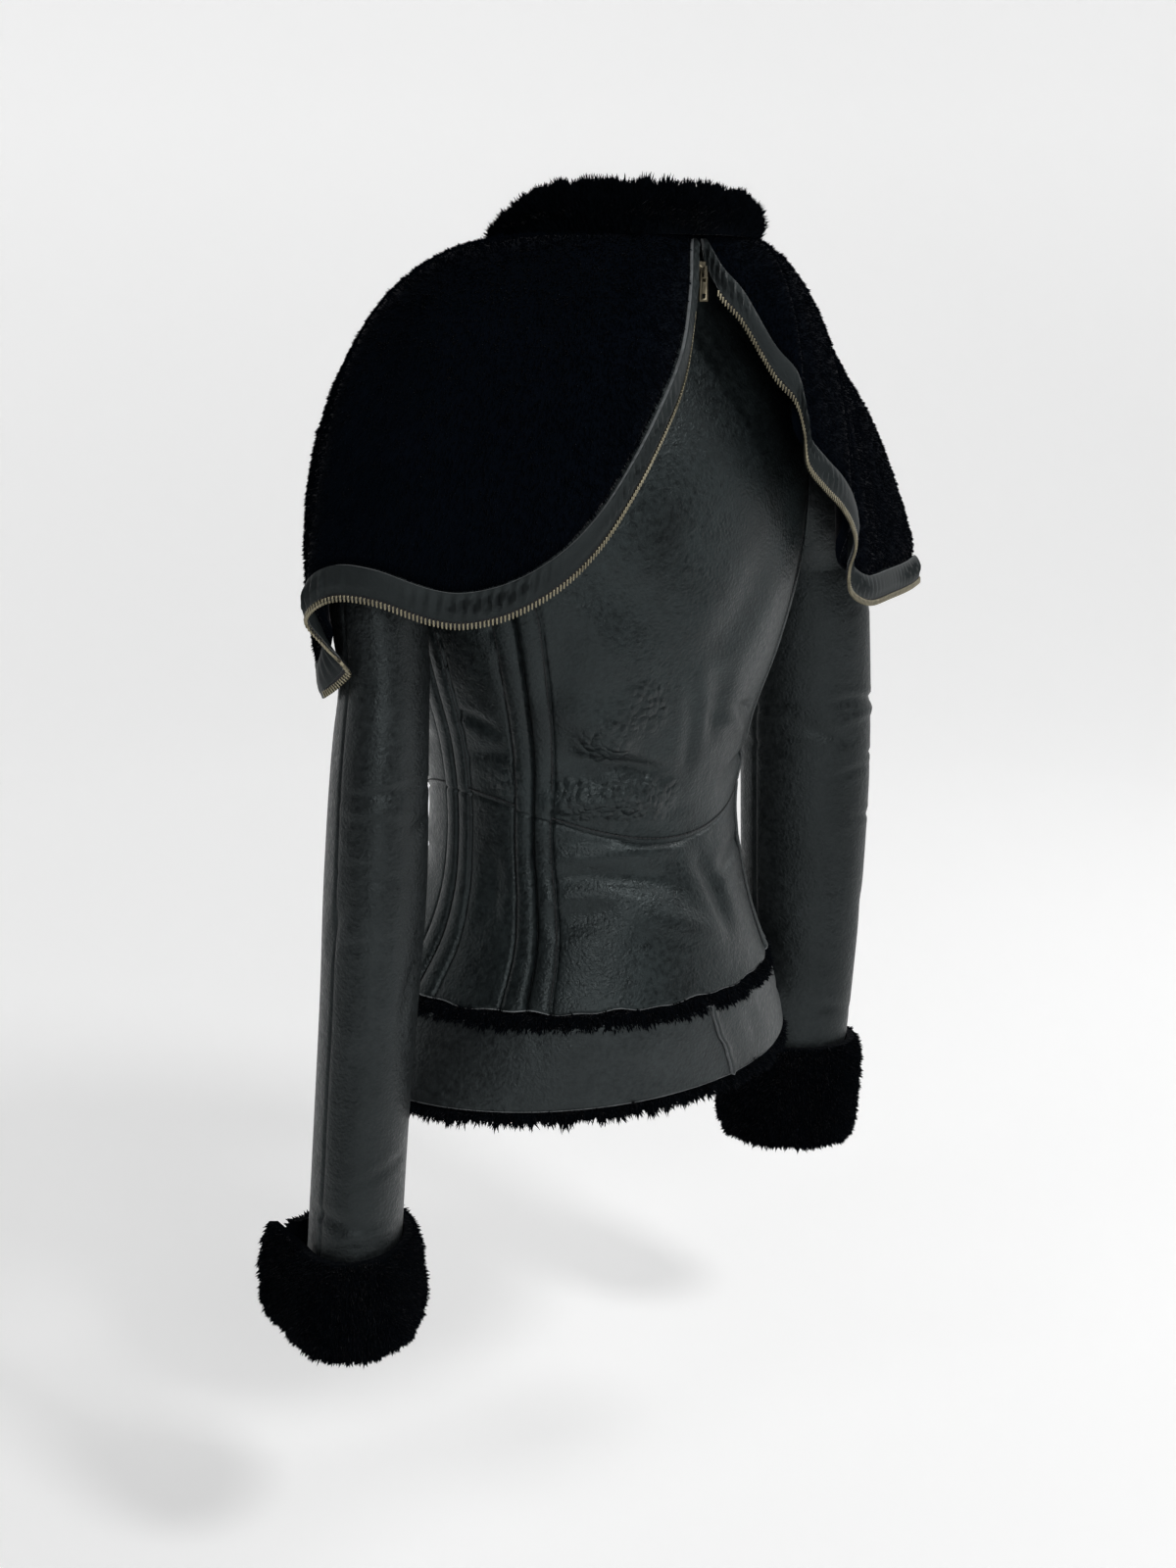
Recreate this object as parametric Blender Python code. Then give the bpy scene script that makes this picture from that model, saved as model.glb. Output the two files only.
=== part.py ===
"""A hooded shearling jacket, kept in the hollow form it has when it is worn.

The wearer faces -Y, with their left arm on +X, and +Z is up. The origin is
level with the nape, on the axis of the neck. The hood is unzipped from its
front edge to the nape, so its two halves lie over the shoulders with the fur
outside, each edged by a leather binding and by half of the metal zip. Every
cut piece is a closed wall of its own. Sizes are in millimetres and become
metres when a mesh is made.
"""

import math
from collections import namedtuple

import bmesh
import bpy
import numpy as np

MM = 0.001

# ---------------------------------------------------------------- sizes, mm
SEAM_GAP = 0.3           # between pieces that meet at a seam
LEATHER = 3.0            # skin with its clipped pile, body and sleeves
FUR = 11.0               # skin with its full pile, hood and cuffs
PRESSED = 3.5            # how much of the pile lies flat at the hood's front corner
COLLAR_FUR = 13.0        # the collar stand, furred on both faces
BINDING = 2.4            # leather binding round the hood
ZIP_THICK = 2.4
ZIP_WIDTH = 4.6          # one half of the zip, teeth and cord
ZIP_ROOM = ZIP_WIDTH + 0.6          # the tape starts this far from the edge
BINDING_WIDTH = 17.5     # between the fur and the zip
SHORTEST_FUR = 6.0       # fur left above the binding at the nape

WAIST_BACK_Z = -399.0    # waist seam at the centre back
WAIST_RISE = 38.0        # how much higher the waist seam runs at the sides
BODY_EDGE_Z = -507.0     # lower edge of the body panels
BAND_TOP_Z = -516.0
BAND_BOTTOM_Z = -575.0
HEM_Z = -585.0           # lowest pile of the hem

NECK_Z = 16.0            # underside of the collar at the centre back
NECK_DROP = 8.0          # how much lower the neckline runs at the front
COLLAR_HEIGHT = 26.0
COLLAR_TILT = 5.0        # the stand leans down towards the right back
COLLAR_TILT_TURN = 48.0
COLLAR_END = 154.0       # degrees from the centre back to its end at the throat
COLLAR_SLOPE_TURN = 84.0 # from here to its ends the stand slopes down
COLLAR_END_SHARE = 0.4   # height that is left at the ends
COLLAR_SPREAD = 9.0      # how far the ends fall open
COLLAR_COLUMNS = 35
COLLAR_WAVE = 1.2        # soft waves along its rim
COLLAR_WAVES = 5
COLLAR_SKIN = 2.0        # the rim is this much thinner, and starts this far out
COLLAR_LEAN = 4.0        # how far the inner face leans in at the top

PRINCESS = 55.0          # degrees round the body from the centre back
PRINCESS_DRIFT = 4.0     # degrees that the seam runs inwards down to the band
DRIFT_SPREAD = 30.0      # degrees beside the seam that drift with it
PRINCESS_BEND_Z = -245.0 # above this the seam bends out into the armhole
SIDE_SEAM = 88.0
SIDE_BEND = 40.0         # height over which the side seam bends into the armhole
BAND_SEAM = -6.0
WELT_WIDTH = 14.0        # a padded welt beside a seam
WELT_RAISE = 2.4
SIDE_WELT_END = 28.0     # the side welts die away over this height at the armhole
PRINCESS_WELT_END = 20.0
SHOULDER_DROP = 2.5      # from the underside of the hood to the top of the body

BODY_LEVELS = 10         # rows of points from the waist to the armhole

ARMHOLE_Z = -133.0       # middle of the armhole
ARMHOLE_HALF_HEIGHT = 82.0
ARMHOLE_HALF_ANGLE = 28.0
ARMHOLE_STEPS = 20
ARMHOLE_GAP = 0.6        # sleeve to body, a little over a seam as both are faceted
PRINCESS_STEP = 6        # armhole step where the princess seam runs in
SLEEVE_SEAM_STEP = 1     # armhole step where the outer sleeve seam starts
ARM_TURN = 48.0          # degrees from +X to the wide axis of the hanging sleeve
SLEEVE_ROWS = 16         # rows of points from the armhole to the sleeve's end
SLEEVE_SKIVED = 0.7      # share of the thickness that is left where it is sewn in
HEAD_LIFT = 34.0         # the fan ends this far above the top of the hanging sleeve
HEAD_SETTLE = 0.6        # how much the fan's end has taken that sleeve's outline

CUFF_EASE = 1.2          # the cuff's inner face stands this far off the sleeve
CUFF_START = -38.0       # degrees from +X to one end of the slit
CUFF_END = 296.0         # and to the other
CUFF_FLARE = 20.0        # how far the first end stands out
CUFF_END_FLARE = 10.0
CUFF_START_REACH = 42.0  # degrees over which each end lifts away
CUFF_END_REACH = 36.0
CUFF_RISE = 9.0          # how much higher the first end sits
CUFF_COLUMNS = 27

SLIDER_X = 8.8           # the zip slider, at the nape between the hood halves
SLIDER_FACE_Y = 83.0
SLIDER_TOP_Z = -5.0
SLIDER_SIZE = (7.0, 4.2, 14.0)
BAIL_SIZE = (2.4, 3.7, 7.4)
BAIL_HOLE = (2.8, 5.6)   # room under the bail, out from the face and along it
PULL_THICK = 1.3
PULL_LENGTH = 19.0
PULL_TOP_WIDTH = 6.0
PULL_END_WIDTH = 7.6
PULL_BAR = 1.5           # bar of the pull that turns inside the bail
PULL_WINDOW = (3.4, 5.2)
PULL_HOLE = 3.0
PULL_RIM = 2.0           # metal left below the hole

# ------------------------------------------------------------------- tables
# Outside of the body at one height: half width, half depth and centre.
Section = namedtuple("Section", "z half_width half_depth centre_y")
BODY = (
    Section(-600, 184, 152, -66),
    Section(-575, 180, 150, -65),
    Section(-505, 150, 146, -62),
    Section(-470, 131, 133, -55),
    Section(-435, 122, 117, -49),
    Section(-399, 119, 105, -46),
    Section(-330, 126, 112, -42),
    Section(-270, 147, 122, -36),
    Section(-215, 164, 125, -32),
    Section(-140, 170, 114, -22),
    Section(-85, 170, 90, -14),
    Section(-50, 162, 73, -8),
    Section(-22, 122, 68, -5),
    Section(6, 79, 66, -3),
)

# A hanging sleeve at one height: its centre, half its wide and narrow way.
ArmSection = namedtuple("ArmSection", "z centre_x centre_y wide narrow")
ARM_LEFT = (
    ArmSection(-262, 198, -13, 45, 29),
    ArmSection(-330, 206, -11, 48, 32),
    ArmSection(-404, 212, -10, 48, 34),
    ArmSection(-480, 219, -10, 46, 33),
    ArmSection(-560, 227, -11, 44, 32),
    ArmSection(-668, 236, -13, 43, 32),
)
ARM_RIGHT = (
    ArmSection(-262, 212, -20, 48, 32),
    ArmSection(-330, 221, -29, 52, 33),
    ArmSection(-404, 226, -32, 52, 34),
    ArmSection(-480, 226, -32, 50, 33),
    ArmSection(-560, 224, -30, 45, 33),
    ArmSection(-668, 213, -30, 43, 32),
)

# The sleeve head fans out from the underarm: turn of the ring from upright,
# half its height, half its depth, and how much it still follows the armhole.
Fan = namedtuple("Fan", "turn half_height half_depth armhole_share")
SLEEVE_HEAD = (
    Fan(0, 82, 54, 1.0),
    Fan(14, 73, 50, 0.35),
    Fan(30, 56, 43, 0.05),
    Fan(48, 43, 38, 0.0),
    Fan(68, 37, 36, 0.0),
    Fan(90, 34, 36, 0.0),
)
UNDERARM = (167.0, -14.0, -213.0)
UNDERARM_STEP = (1.5, 0.0, -4.0)      # the fan's foot moves this way with each row

# One half of the hood, rib by rib, from the zip at the nape round to the
# front edge. A rib leaves the neckline at root_turn (degrees from the centre
# back), reaches outwards, falls, and comes down onto the free edge from
# lift above it, swell outside it and sweep in front of it.
Rib = namedtuple("Rib", "root_turn edge_x edge_y edge_z reach fall lift swell sweep")
HOOD_LEFT = (
    Rib(6, 13, 80, -5, 1, 6, 6, 0, 0),
    Rib(12, 17, 87, -27, 5, 6, 12, 1, 0),
    Rib(20, 34, 99, -67, 12, 3, 25, 3, 0),
    Rib(27, 50, 107, -92, 20, 1, 38, 5, 0),
    Rib(34, 76, 116, -121, 30, 0, 54, 6, 0),
    Rib(41, 101, 121, -149, 38, -1, 74, 6, 0),
    Rib(48, 127, 120, -179, 46, -2, 98, 6, 0),
    Rib(55, 152, 113, -202, 56, -4, 120, 6, 0),
    Rib(62, 178, 98, -219, 66, -5, 142, 7, 0),
    Rib(69, 202, 81, -226, 76, -6, 160, 8, 0),
    Rib(76, 221, 67, -223, 84, -6, 170, 9, 0),
    Rib(83, 245, 48, -212, 88, -4, 170, 8, 0),
    Rib(88, 260, 29, -209, 90, -4, 170, 6, 0),
    Rib(93, 267, 12, -215, 91, -3, 170, 2, 0),
    Rib(98, 265, -3, -227, 92, -3, 168, 2, 2),
    Rib(103, 257, -5, -243, 92, -2, 166, 12, 6),
    Rib(108, 250, -4, -260, 92, -2, 166, 22, 14),
    Rib(112, 244, -16, -277, 92, -2, 168, 22, 23),
    Rib(117, 230, -38, -286, 90, -1, 172, 26, 24),
    Rib(123, 206, -74, -264, 90, -4, 156, 26, 10),
    Rib(129, 180, -106, -214, 70, 2, 116, 18, 4),
    Rib(137, 144, -112, -158, 42, 4, 74, 8, 0),
    Rib(145, 106, -118, -106, 30, 6, 44, 6, 0),
    Rib(152, 68, -108, -56, 18, 6, 20, 3, 0),
)
HOOD_RIGHT = (
    Rib(-3, -5, 80, -8, 1, 6, 6, 0, 0),
    Rib(8, 2, 89, -29, 5, 6, 12, 1, 0),
    Rib(19, 14, 98, -46, 10, 4, 22, 3, 0),
    Rib(26, 34, 108, -80, 18, 2, 34, 5, 0),
    Rib(33, 48, 115, -97, 26, 1, 46, 5, 0),
    Rib(39, 53, 119, -117, 32, 0, 58, 4, 0),
    Rib(45, 58, 119, -139, 34, 2, 70, 3, 0),
    Rib(51, 78, 116, -155, 40, 2, 86, 4, 0),
    Rib(57, 100, 112, -169, 46, 2, 98, 4, 0),
    Rib(63, 119, 106, -184, 52, 5, 106, 3, 0),
    Rib(68, 133, 98, -200, 56, 5, 116, 2, 0),
    Rib(73, 138, 88, -219, 60, 5, 124, 3, 0),
    Rib(78, 150, 80, -237, 66, 5, 134, 4, 0),
    Rib(83, 184, 68, -249, 72, 4, 142, -2, 0),
    Rib(88, 226, 53, -249, 80, 3, 146, -10, 0),
    Rib(93, 272, 34, -248, 86, 2, 138, -24, 0),
    Rib(98, 308, 12, -247, 90, 0, 130, -34, 0),
    Rib(103, 308, -14, -256, 92, -2, 140, -32, 0),
    Rib(108, 288, -36, -270, 92, -4, 152, -18, 0),
    Rib(115, 268, -60, -284, 86, -8, 162, 4, 0),
    Rib(122, 228, -84, -256, 70, -4, 140, 8, 0),
    Rib(129, 186, -106, -210, 52, 2, 106, 8, 0),
    Rib(137, 144, -112, -158, 42, 4, 74, 8, 0),
    Rib(145, 106, -118, -106, 30, 6, 44, 6, 0),
    Rib(152, 68, -108, -56, 18, 6, 20, 3, 0),
)
# Where the zipped edge of the left half is tucked in behind its own fold.
Tuck = namedtuple("Tuck", "rib x y")
TUCKS_LEFT = (Tuck(14, 0, 0), Tuck(15, -4, 7), Tuck(16, -9, 17), Tuck(17, 0, 0))
TUCKS_RIGHT = (Tuck(0, 0, 0),)
TUCK_REACH = 32.0        # how far up from the edge a tuck is felt

# A cuff's top and bottom, and where the sleeve ends inside it.
Cuff = namedtuple("Cuff", "top_z bottom_z sleeve_end_z")
CUFF_LEFT = Cuff(-650, -720, -694)
CUFF_RIGHT = Cuff(-622, -706, -680)

# How the fur cuffs and collar round off: share of the way from the collar's
# root, or up from the cuff's lower edge, and how far the outside swells there.
Roll = namedtuple("Roll", "share swell")
CUFF_PROFILE = (
    Roll(0.0, -3.0),
    Roll(0.15, 1.5),
    Roll(0.4, 3.0),
    Roll(0.7, 2.0),
    Roll(0.9, 0.0),
    Roll(1.0, -3.0),
)
COLLAR_PROFILE = (
    Roll(0.0, 2.0),
    Roll(0.25, 4.5),
    Roll(0.5, 4.5),
    Roll(0.75, 1.0),
    Roll(0.92, -3.0),
    Roll(1.0, -7.0),
)

ZIP_FIRST_RIB = 0.9          # the zip starts here, just clear of the slider
ZIP_LAST_RIB_LEFT = 17.0     # and stops here, short of the front corner
ZIP_LAST_RIB_RIGHT = 18.0
NECK_RING = Section(0, 84, 78, 0)     # line where the hood joins the collar

Finish = namedtuple("Finish", "name colour roughness metallic")
LEATHER_FINISH = Finish("slate_leather", (0.034, 0.038, 0.040), 0.52, 0.0)
SLEEVE_FINISH = Finish("sleeve_leather", (0.032, 0.032, 0.033), 0.56, 0.0)
FUR_FINISH = Finish("black_fur", (0.004, 0.004, 0.006), 0.95, 0.0)
BINDING_FINISH = Finish("charcoal_binding", (0.030, 0.030, 0.033), 0.75, 0.0)
METAL_FINISH = Finish("antique_brass", (0.22, 0.19, 0.12), 0.38, 1.0)


# ------------------------------------------------------------------- helpers
def clear_scene():
    for item in list(bpy.data.objects):
        bpy.data.objects.remove(item, do_unlink=True)


def material(finish):
    found = bpy.data.materials.get(finish.name)
    if found:
        return found
    made = bpy.data.materials.new(finish.name)
    made.use_nodes = True
    shader = made.node_tree.nodes["Principled BSDF"]
    shader.inputs["Base Color"].default_value = (*finish.colour, 1.0)
    shader.inputs["Roughness"].default_value = finish.roughness
    shader.inputs["Metallic"].default_value = finish.metallic
    made.diffuse_color = (*finish.colour, 1.0)
    return made


def ease(t):
    """A smooth step from 0 to 1."""
    t = min(max(t, 0.0), 1.0)
    return t * t * (3.0 - 2.0 * t)


def column(rows, name):
    return np.array([getattr(row, name) for row in rows], float)


def smooth_through(keys, values, at):
    """Cubic through the table's values; keys run upwards, ends are held."""
    at = min(max(at, keys[0]), keys[-1])
    i = min(int(np.searchsorted(keys, at, side="right")) - 1, len(keys) - 2)
    slopes = np.diff(values) / np.diff(keys)

    def slope(n):
        if n == 0:
            return slopes[0]
        if n == len(keys) - 1:
            return slopes[-1]
        before = keys[n] - keys[n - 1]
        after = keys[n + 1] - keys[n]
        return (slopes[n - 1] * after + slopes[n] * before) / (before + after)

    span = keys[i + 1] - keys[i]
    t = (at - keys[i]) / span
    return (
        (2 * t**3 - 3 * t**2 + 1) * values[i]
        + (t**3 - 2 * t**2 + t) * span * slope(i)
        + (3 * t**2 - 2 * t**3) * values[i + 1]
        + (t**3 - t**2) * span * slope(i + 1)
    )


def even(start, stop, count):
    return [start + (stop - start) * n / (count - 1) for n in range(count)]


def joined(*runs):
    """Stops of several runs in one list, shared ends kept once."""
    stops = []
    for run in runs:
        stops.extend(run if not stops or abs(run[0] - stops[-1]) > 1e-6 else run[1:])
    return stops


def make_object(name, bm, finish):
    bmesh.ops.recalc_face_normals(bm, faces=bm.faces[:])
    mesh = bpy.data.meshes.new(name)
    bm.to_mesh(mesh)
    bm.free()
    mesh.materials.append(material(finish))
    mesh.shade_smooth()
    mesh.set_sharp_from_angle(angle=math.radians(50))
    made = bpy.data.objects.new(name, mesh)
    bpy.context.scene.collection.objects.link(made)
    return made


def wall(name, surface, us, vs, thickness, finish, raised=None, mirrored=False):
    """A closed wall on surface(u, v): us across, vs along, thickened inwards.

    surface returns an outside point and is smooth a little past its stops, so
    that pieces on each side of a seam share one normal there. raised(u, v)
    lifts the outer face alone.
    """
    step = 1e-3
    outer = []
    inner = []
    for v in vs:
        outer_row = []
        inner_row = []
        for u in us:
            u_here = u(v) if callable(u) else u
            point = surface(u_here, v)
            across = surface(u_here + step, v) - surface(u_here - step, v)
            along = surface(u_here, v + step) - surface(u_here, v - step)
            normal = np.cross(along, across)
            normal /= np.linalg.norm(normal)
            lift = raised(u_here, v) if raised else 0.0
            outer_row.append(point + normal * lift)
            inner_row.append(point - normal * thickness)
        outer.append(outer_row)
        inner.append(inner_row)
    return wall_from_grids(name, outer, inner, finish, mirrored)


def wall_from_grids(name, outer, inner, finish, mirrored=False):
    """Closes the space between two grids of points into one solid."""
    bm = bmesh.new()
    flip = -1.0 if mirrored else 1.0

    def vertices(grid):
        return [[bm.verts.new((flip * p[0] * MM, p[1] * MM, p[2] * MM)) for p in row] for row in grid]

    out = vertices(outer)
    back = vertices(inner)
    rows = len(out)
    cols = len(out[0])
    for r in range(rows - 1):
        for c in range(cols - 1):
            bm.faces.new((out[r][c], out[r][c + 1], out[r + 1][c + 1], out[r + 1][c]))
            bm.faces.new((back[r][c], back[r + 1][c], back[r + 1][c + 1], back[r][c + 1]))
    for c in range(cols - 1):
        bm.faces.new((out[0][c], back[0][c], back[0][c + 1], out[0][c + 1]))
        bm.faces.new((out[-1][c], out[-1][c + 1], back[-1][c + 1], back[-1][c]))
    for r in range(rows - 1):
        bm.faces.new((out[r][0], out[r + 1][0], back[r + 1][0], back[r][0]))
        bm.faces.new((out[r][-1], back[r][-1], back[r + 1][-1], out[r + 1][-1]))
    return make_object(name, bm, finish)


# --------------------------------------------------------------- body panels
def body_point(turn, z):
    """Outside of the body at turn degrees from the centre back, towards +X."""
    keys = column(BODY, "z")
    half_width = smooth_through(keys, column(BODY, "half_width"), z)
    half_depth = smooth_through(keys, column(BODY, "half_depth"), z)
    centre_y = smooth_through(keys, column(BODY, "centre_y"), z)
    angle = math.radians(turn)
    return np.array((half_width * math.sin(angle), centre_y + half_depth * math.cos(angle), z))


def waist_z(turn):
    return WAIST_BACK_Z + WAIST_RISE * math.sin(math.radians(turn)) ** 2


def neck_z(turn):
    """Underside of the collar, lower towards the front."""
    return NECK_Z - NECK_DROP * math.sin(math.radians(turn) / 2) ** 2


def armhole(step):
    """Turn and height of a point of the armhole, from the shoulder backwards."""
    angle = 2 * math.pi * step / ARMHOLE_STEPS
    turn = 90.0 - ARMHOLE_HALF_ANGLE * math.sin(angle)
    return turn, ARMHOLE_Z + ARMHOLE_HALF_HEIGHT * math.cos(angle)


def arc_turn(distance):
    """Degrees round the body that a distance covers, near enough for a seam."""
    return math.degrees(distance / 115.0)


GAP_TURN = arc_turn(SEAM_GAP / 2)
SLEEVE_GAP_STEP = SEAM_GAP / 2 / 8.0       # the same gap, in armhole steps of a small sleeve
WELT_SHARES = (0.0, 0.2, 0.5, 0.8, 1.0)
WELT_TURNS = [arc_turn(WELT_WIDTH) * share for share in WELT_SHARES]
SHOULDER_SHARES = (0.25, 0.5, 0.75, 1.0)
ARMHOLE_LOW_Z = ARMHOLE_Z - ARMHOLE_HALF_HEIGHT
ARMHOLE_TOP_Z = ARMHOLE_Z + ARMHOLE_HALF_HEIGHT


def welt(turn, seam):
    """Height of the padded welts that run on both sides of a seam."""
    share = abs(turn - seam) / arc_turn(WELT_WIDTH)
    if share >= 1.0:
        return 0.0
    return WELT_RAISE * math.sin(math.pi * share) ** 0.8


def stops_between(left, right, welt_left, welt_right, middle_count):
    """Turns across a panel, with close stops where a welt is raised."""
    start = [left + GAP_TURN + t for t in WELT_TURNS] if welt_left else [left + GAP_TURN]
    end = [right - GAP_TURN - t for t in reversed(WELT_TURNS)] if welt_right else [right - GAP_TURN]
    return joined(start, even(start[-1], end[0], middle_count), end)


def body_welts(turn, _):
    """Below the waist the welts run the whole height."""
    return welt(abs(turn), PRINCESS) + welt(abs(turn), SIDE_SEAM)


def lower_body():
    """Panels from the waist seam to the band."""
    def surface(turn, share):
        top = waist_z(turn) - SEAM_GAP / 2
        beside = math.exp(-((abs(turn) - PRINCESS) / DRIFT_SPREAD) ** 2)
        drift = PRINCESS_DRIFT * (1 - share) ** 2 * beside
        z = BODY_EDGE_Z + (top - BODY_EDGE_Z) * share
        return body_point(turn - math.copysign(drift, turn), z)

    heights = even(0.0, 1.0, 8)
    centre = stops_between(-PRINCESS, PRINCESS, True, True, 9)
    wall("back_centre_lower", surface, centre, heights, LEATHER, LEATHER_FINISH, body_welts)
    side = stops_between(PRINCESS, SIDE_SEAM, True, True, 3)
    front = stops_between(SIDE_SEAM, 180.0, True, False, 8)
    for hand, mirrored in (("left", False), ("right", True)):
        wall(f"back_side_lower_{hand}", surface, side, heights, LEATHER, LEATHER_FINISH,
             body_welts, mirrored)
        wall(f"front_lower_{hand}", surface, front, heights, LEATHER, LEATHER_FINISH,
             body_welts, mirrored)


def body_top_z(turn):
    """Top of the body, just under the hood's root."""
    return neck_z(turn) - FUR - SHOULDER_DROP


def princess_turn(z):
    """The princess seam bends outwards into the armhole."""
    end_turn, end_z = armhole(PRINCESS_STEP)
    bend = ease((z - PRINCESS_BEND_Z) / (end_z - PRINCESS_BEND_Z)) ** 1.5
    return PRINCESS + (end_turn - PRINCESS) * bend


def armhole_bulge(z):
    """How far the armhole reaches from the side, in degrees, at one height."""
    level = (z - ARMHOLE_Z) / ARMHOLE_HALF_HEIGHT
    return ARMHOLE_HALF_ANGLE * math.sqrt(max(0.0, 1.0 - level * level))


def back_edge_turn(z):
    """Edge of the centre back: princess seam, armhole, then shoulder seam."""
    if z <= armhole(PRINCESS_STEP)[1]:
        return princess_turn(z)
    return 90.0 - armhole_bulge(z)


def front_edge_turn(z):
    """Edge of the front: side seam, armhole, then shoulder seam."""
    if z <= ARMHOLE_LOW_Z:
        return SIDE_SEAM + (90.0 - SIDE_SEAM) * ease((z - ARMHOLE_LOW_Z + SIDE_BEND) / SIDE_BEND)
    return 90.0 + armhole_bulge(z)


def panel_grids(rows, raised):
    """Outer and inner grids of a body panel given as rows of (turn, z)."""
    step = 1e-3
    outer = []
    inner = []
    for row in rows:
        outer_row = []
        inner_row = []
        for turn, z in row:
            point = body_point(turn, z)
            across = body_point(turn + step, z) - body_point(turn - step, z)
            along = body_point(turn, z + step) - body_point(turn, z - step)
            normal = np.cross(along, across)
            normal /= np.linalg.norm(normal)
            outer_row.append(point + normal * raised(turn, z))
            inner_row.append(point - normal * LEATHER)
        outer.append(outer_row)
        inner.append(inner_row)
    return outer, inner


def upper_welts(turn, z):
    """The welts die away where their seams run into the armhole."""
    turn = abs(turn)
    princess = ease((armhole(PRINCESS_STEP)[1] + PRINCESS_WELT_END - z) / PRINCESS_WELT_END)
    side = ease((ARMHOLE_LOW_Z - z) / SIDE_WELT_END)
    return welt(turn, princess_turn(z)) * princess + welt(turn, front_edge_turn(z)) * side


def shoulder_rows(turns):
    """Rows of a panel from the top of the armhole up to the neck."""
    rows = []
    for share in SHOULDER_SHARES:
        rows.append([(turn, ARMHOLE_TOP_Z + (body_top_z(turn) - ARMHOLE_TOP_Z) * share) for turn in turns])
    return rows


def upper_back():
    """The centre back, from the waist seam up to the shoulder seams."""
    def columns(edge):
        """Turns across the panel where it reaches edge degrees each way."""
        welts = [edge - GAP_TURN - t for t in WELT_TURNS]
        return joined([-w for w in welts], even(-welts[-1], welts[-1], 9), welts[::-1])

    seam_z = armhole(PRINCESS_STEP)[1]
    rows = []
    for share in even(0.0, 1.0, BODY_LEVELS):
        row = []
        for turn in columns(PRINCESS):
            start = waist_z(turn) + SEAM_GAP / 2
            z = start + (seam_z - start) * share
            row.append((turn * back_edge_turn(z) / PRINCESS, z))
        rows.append(row)
    for step in range(PRINCESS_STEP - 1, -1, -1):
        z = armhole(step)[1]
        rows.append([(turn, z) for turn in columns(back_edge_turn(z))])
    outer, inner = panel_grids(rows + shoulder_rows(columns(90.0)), upper_welts)
    wall_from_grids("back_centre_upper", outer, inner, LEATHER_FINISH)


def upper_side_backs():
    """The side backs, which end along the underarm part of the armhole."""
    shares = joined([s / 2 for s in WELT_SHARES], even(0.5, 1.0, 5))
    rows = []
    for level in even(0.0, 1.0, BODY_LEVELS):
        row = []
        for share in shares:
            end_turn, end_z = armhole(PRINCESS_STEP + (ARMHOLE_STEPS / 2 - PRINCESS_STEP) * share)
            low_turn = PRINCESS + GAP_TURN + (SIDE_SEAM - PRINCESS - 2 * GAP_TURN) * share
            low_z = waist_z(low_turn) + SEAM_GAP / 2
            z = low_z + (end_z - low_z) * level
            turn = side_back_turn(z, share)
            top_turn = side_back_turn(end_z, share)
            end_fit = min(end_turn, front_edge_turn(z) - GAP_TURN)
            row.append((turn + (end_fit - top_turn) * level**4, z))
        rows.append(row)
    outer, inner = panel_grids(rows, upper_welts)
    for hand, mirrored in (("left", False), ("right", True)):
        wall_from_grids(f"back_side_upper_{hand}", outer, inner, LEATHER_FINISH, mirrored)


def side_back_turn(z, share):
    """Turn at a share of the way from the princess seam to the side seam."""
    start = princess_turn(z) + GAP_TURN
    return start + (front_edge_turn(z) - GAP_TURN - start) * share


def upper_fronts():
    """The fronts go up past the armhole to the shoulder seam and the neck."""
    def columns(edge):
        welts = [edge + GAP_TURN + t for t in WELT_TURNS]
        return joined(welts, even(welts[-1], 180.0 - GAP_TURN, 8))

    rows = []
    for share in even(0.0, 1.0, BODY_LEVELS):
        row = []
        for turn in columns(SIDE_SEAM):
            start = waist_z(turn) + SEAM_GAP / 2
            z = start + (ARMHOLE_LOW_Z - start) * share
            edge = front_edge_turn(z)
            row.append((edge + (180.0 - edge) * (turn - SIDE_SEAM) / (180.0 - SIDE_SEAM), z))
        rows.append(row)
    for step in range(ARMHOLE_STEPS // 2 + 1, ARMHOLE_STEPS + 1):
        z = armhole(step)[1]
        rows.append([(turn, z) for turn in columns(front_edge_turn(z))])
    outer, inner = panel_grids(rows + shoulder_rows(columns(90.0)), upper_welts)
    for hand, mirrored in (("left", False), ("right", True)):
        wall_from_grids(f"front_upper_{hand}", outer, inner, LEATHER_FINISH, mirrored)


def hem():
    """The leather band, and the pile above and below it."""
    def strip(low, high, grow):
        def surface(turn, share):
            point = body_point(turn, low + (high - low) * share)
            angle = math.radians(turn)
            return point + np.array((math.sin(angle), math.cos(angle), 0.0)) * grow
        return surface

    band = strip(BAND_BOTTOM_Z, BAND_TOP_Z, 1.5)
    heights = [0.0, 0.33, 0.67, 1.0]
    left_turns = even(BAND_SEAM + GAP_TURN, 180.0 - GAP_TURN, 20)
    right_turns = even(-180.0 + GAP_TURN, BAND_SEAM - GAP_TURN, 18)
    wall("hem_band_left", band, left_turns, heights, LEATHER, LEATHER_FINISH)
    wall("hem_band_right", band, right_turns, heights, LEATHER, LEATHER_FINISH)
    around = right_turns[:-1] + [BAND_SEAM] + left_turns[1:]
    pile = strip(BAND_TOP_Z + SEAM_GAP, BODY_EDGE_Z - SEAM_GAP, 2.0)
    wall("band_fur", pile, around, [0.0, 0.5, 1.0], FUR / 2, FUR_FINISH)
    edge = strip(HEM_Z, BAND_BOTTOM_Z - SEAM_GAP, 1.0)
    wall("hem_fur", edge, around, [0.0, 0.5, 1.0], FUR / 2, FUR_FINISH)


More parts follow.
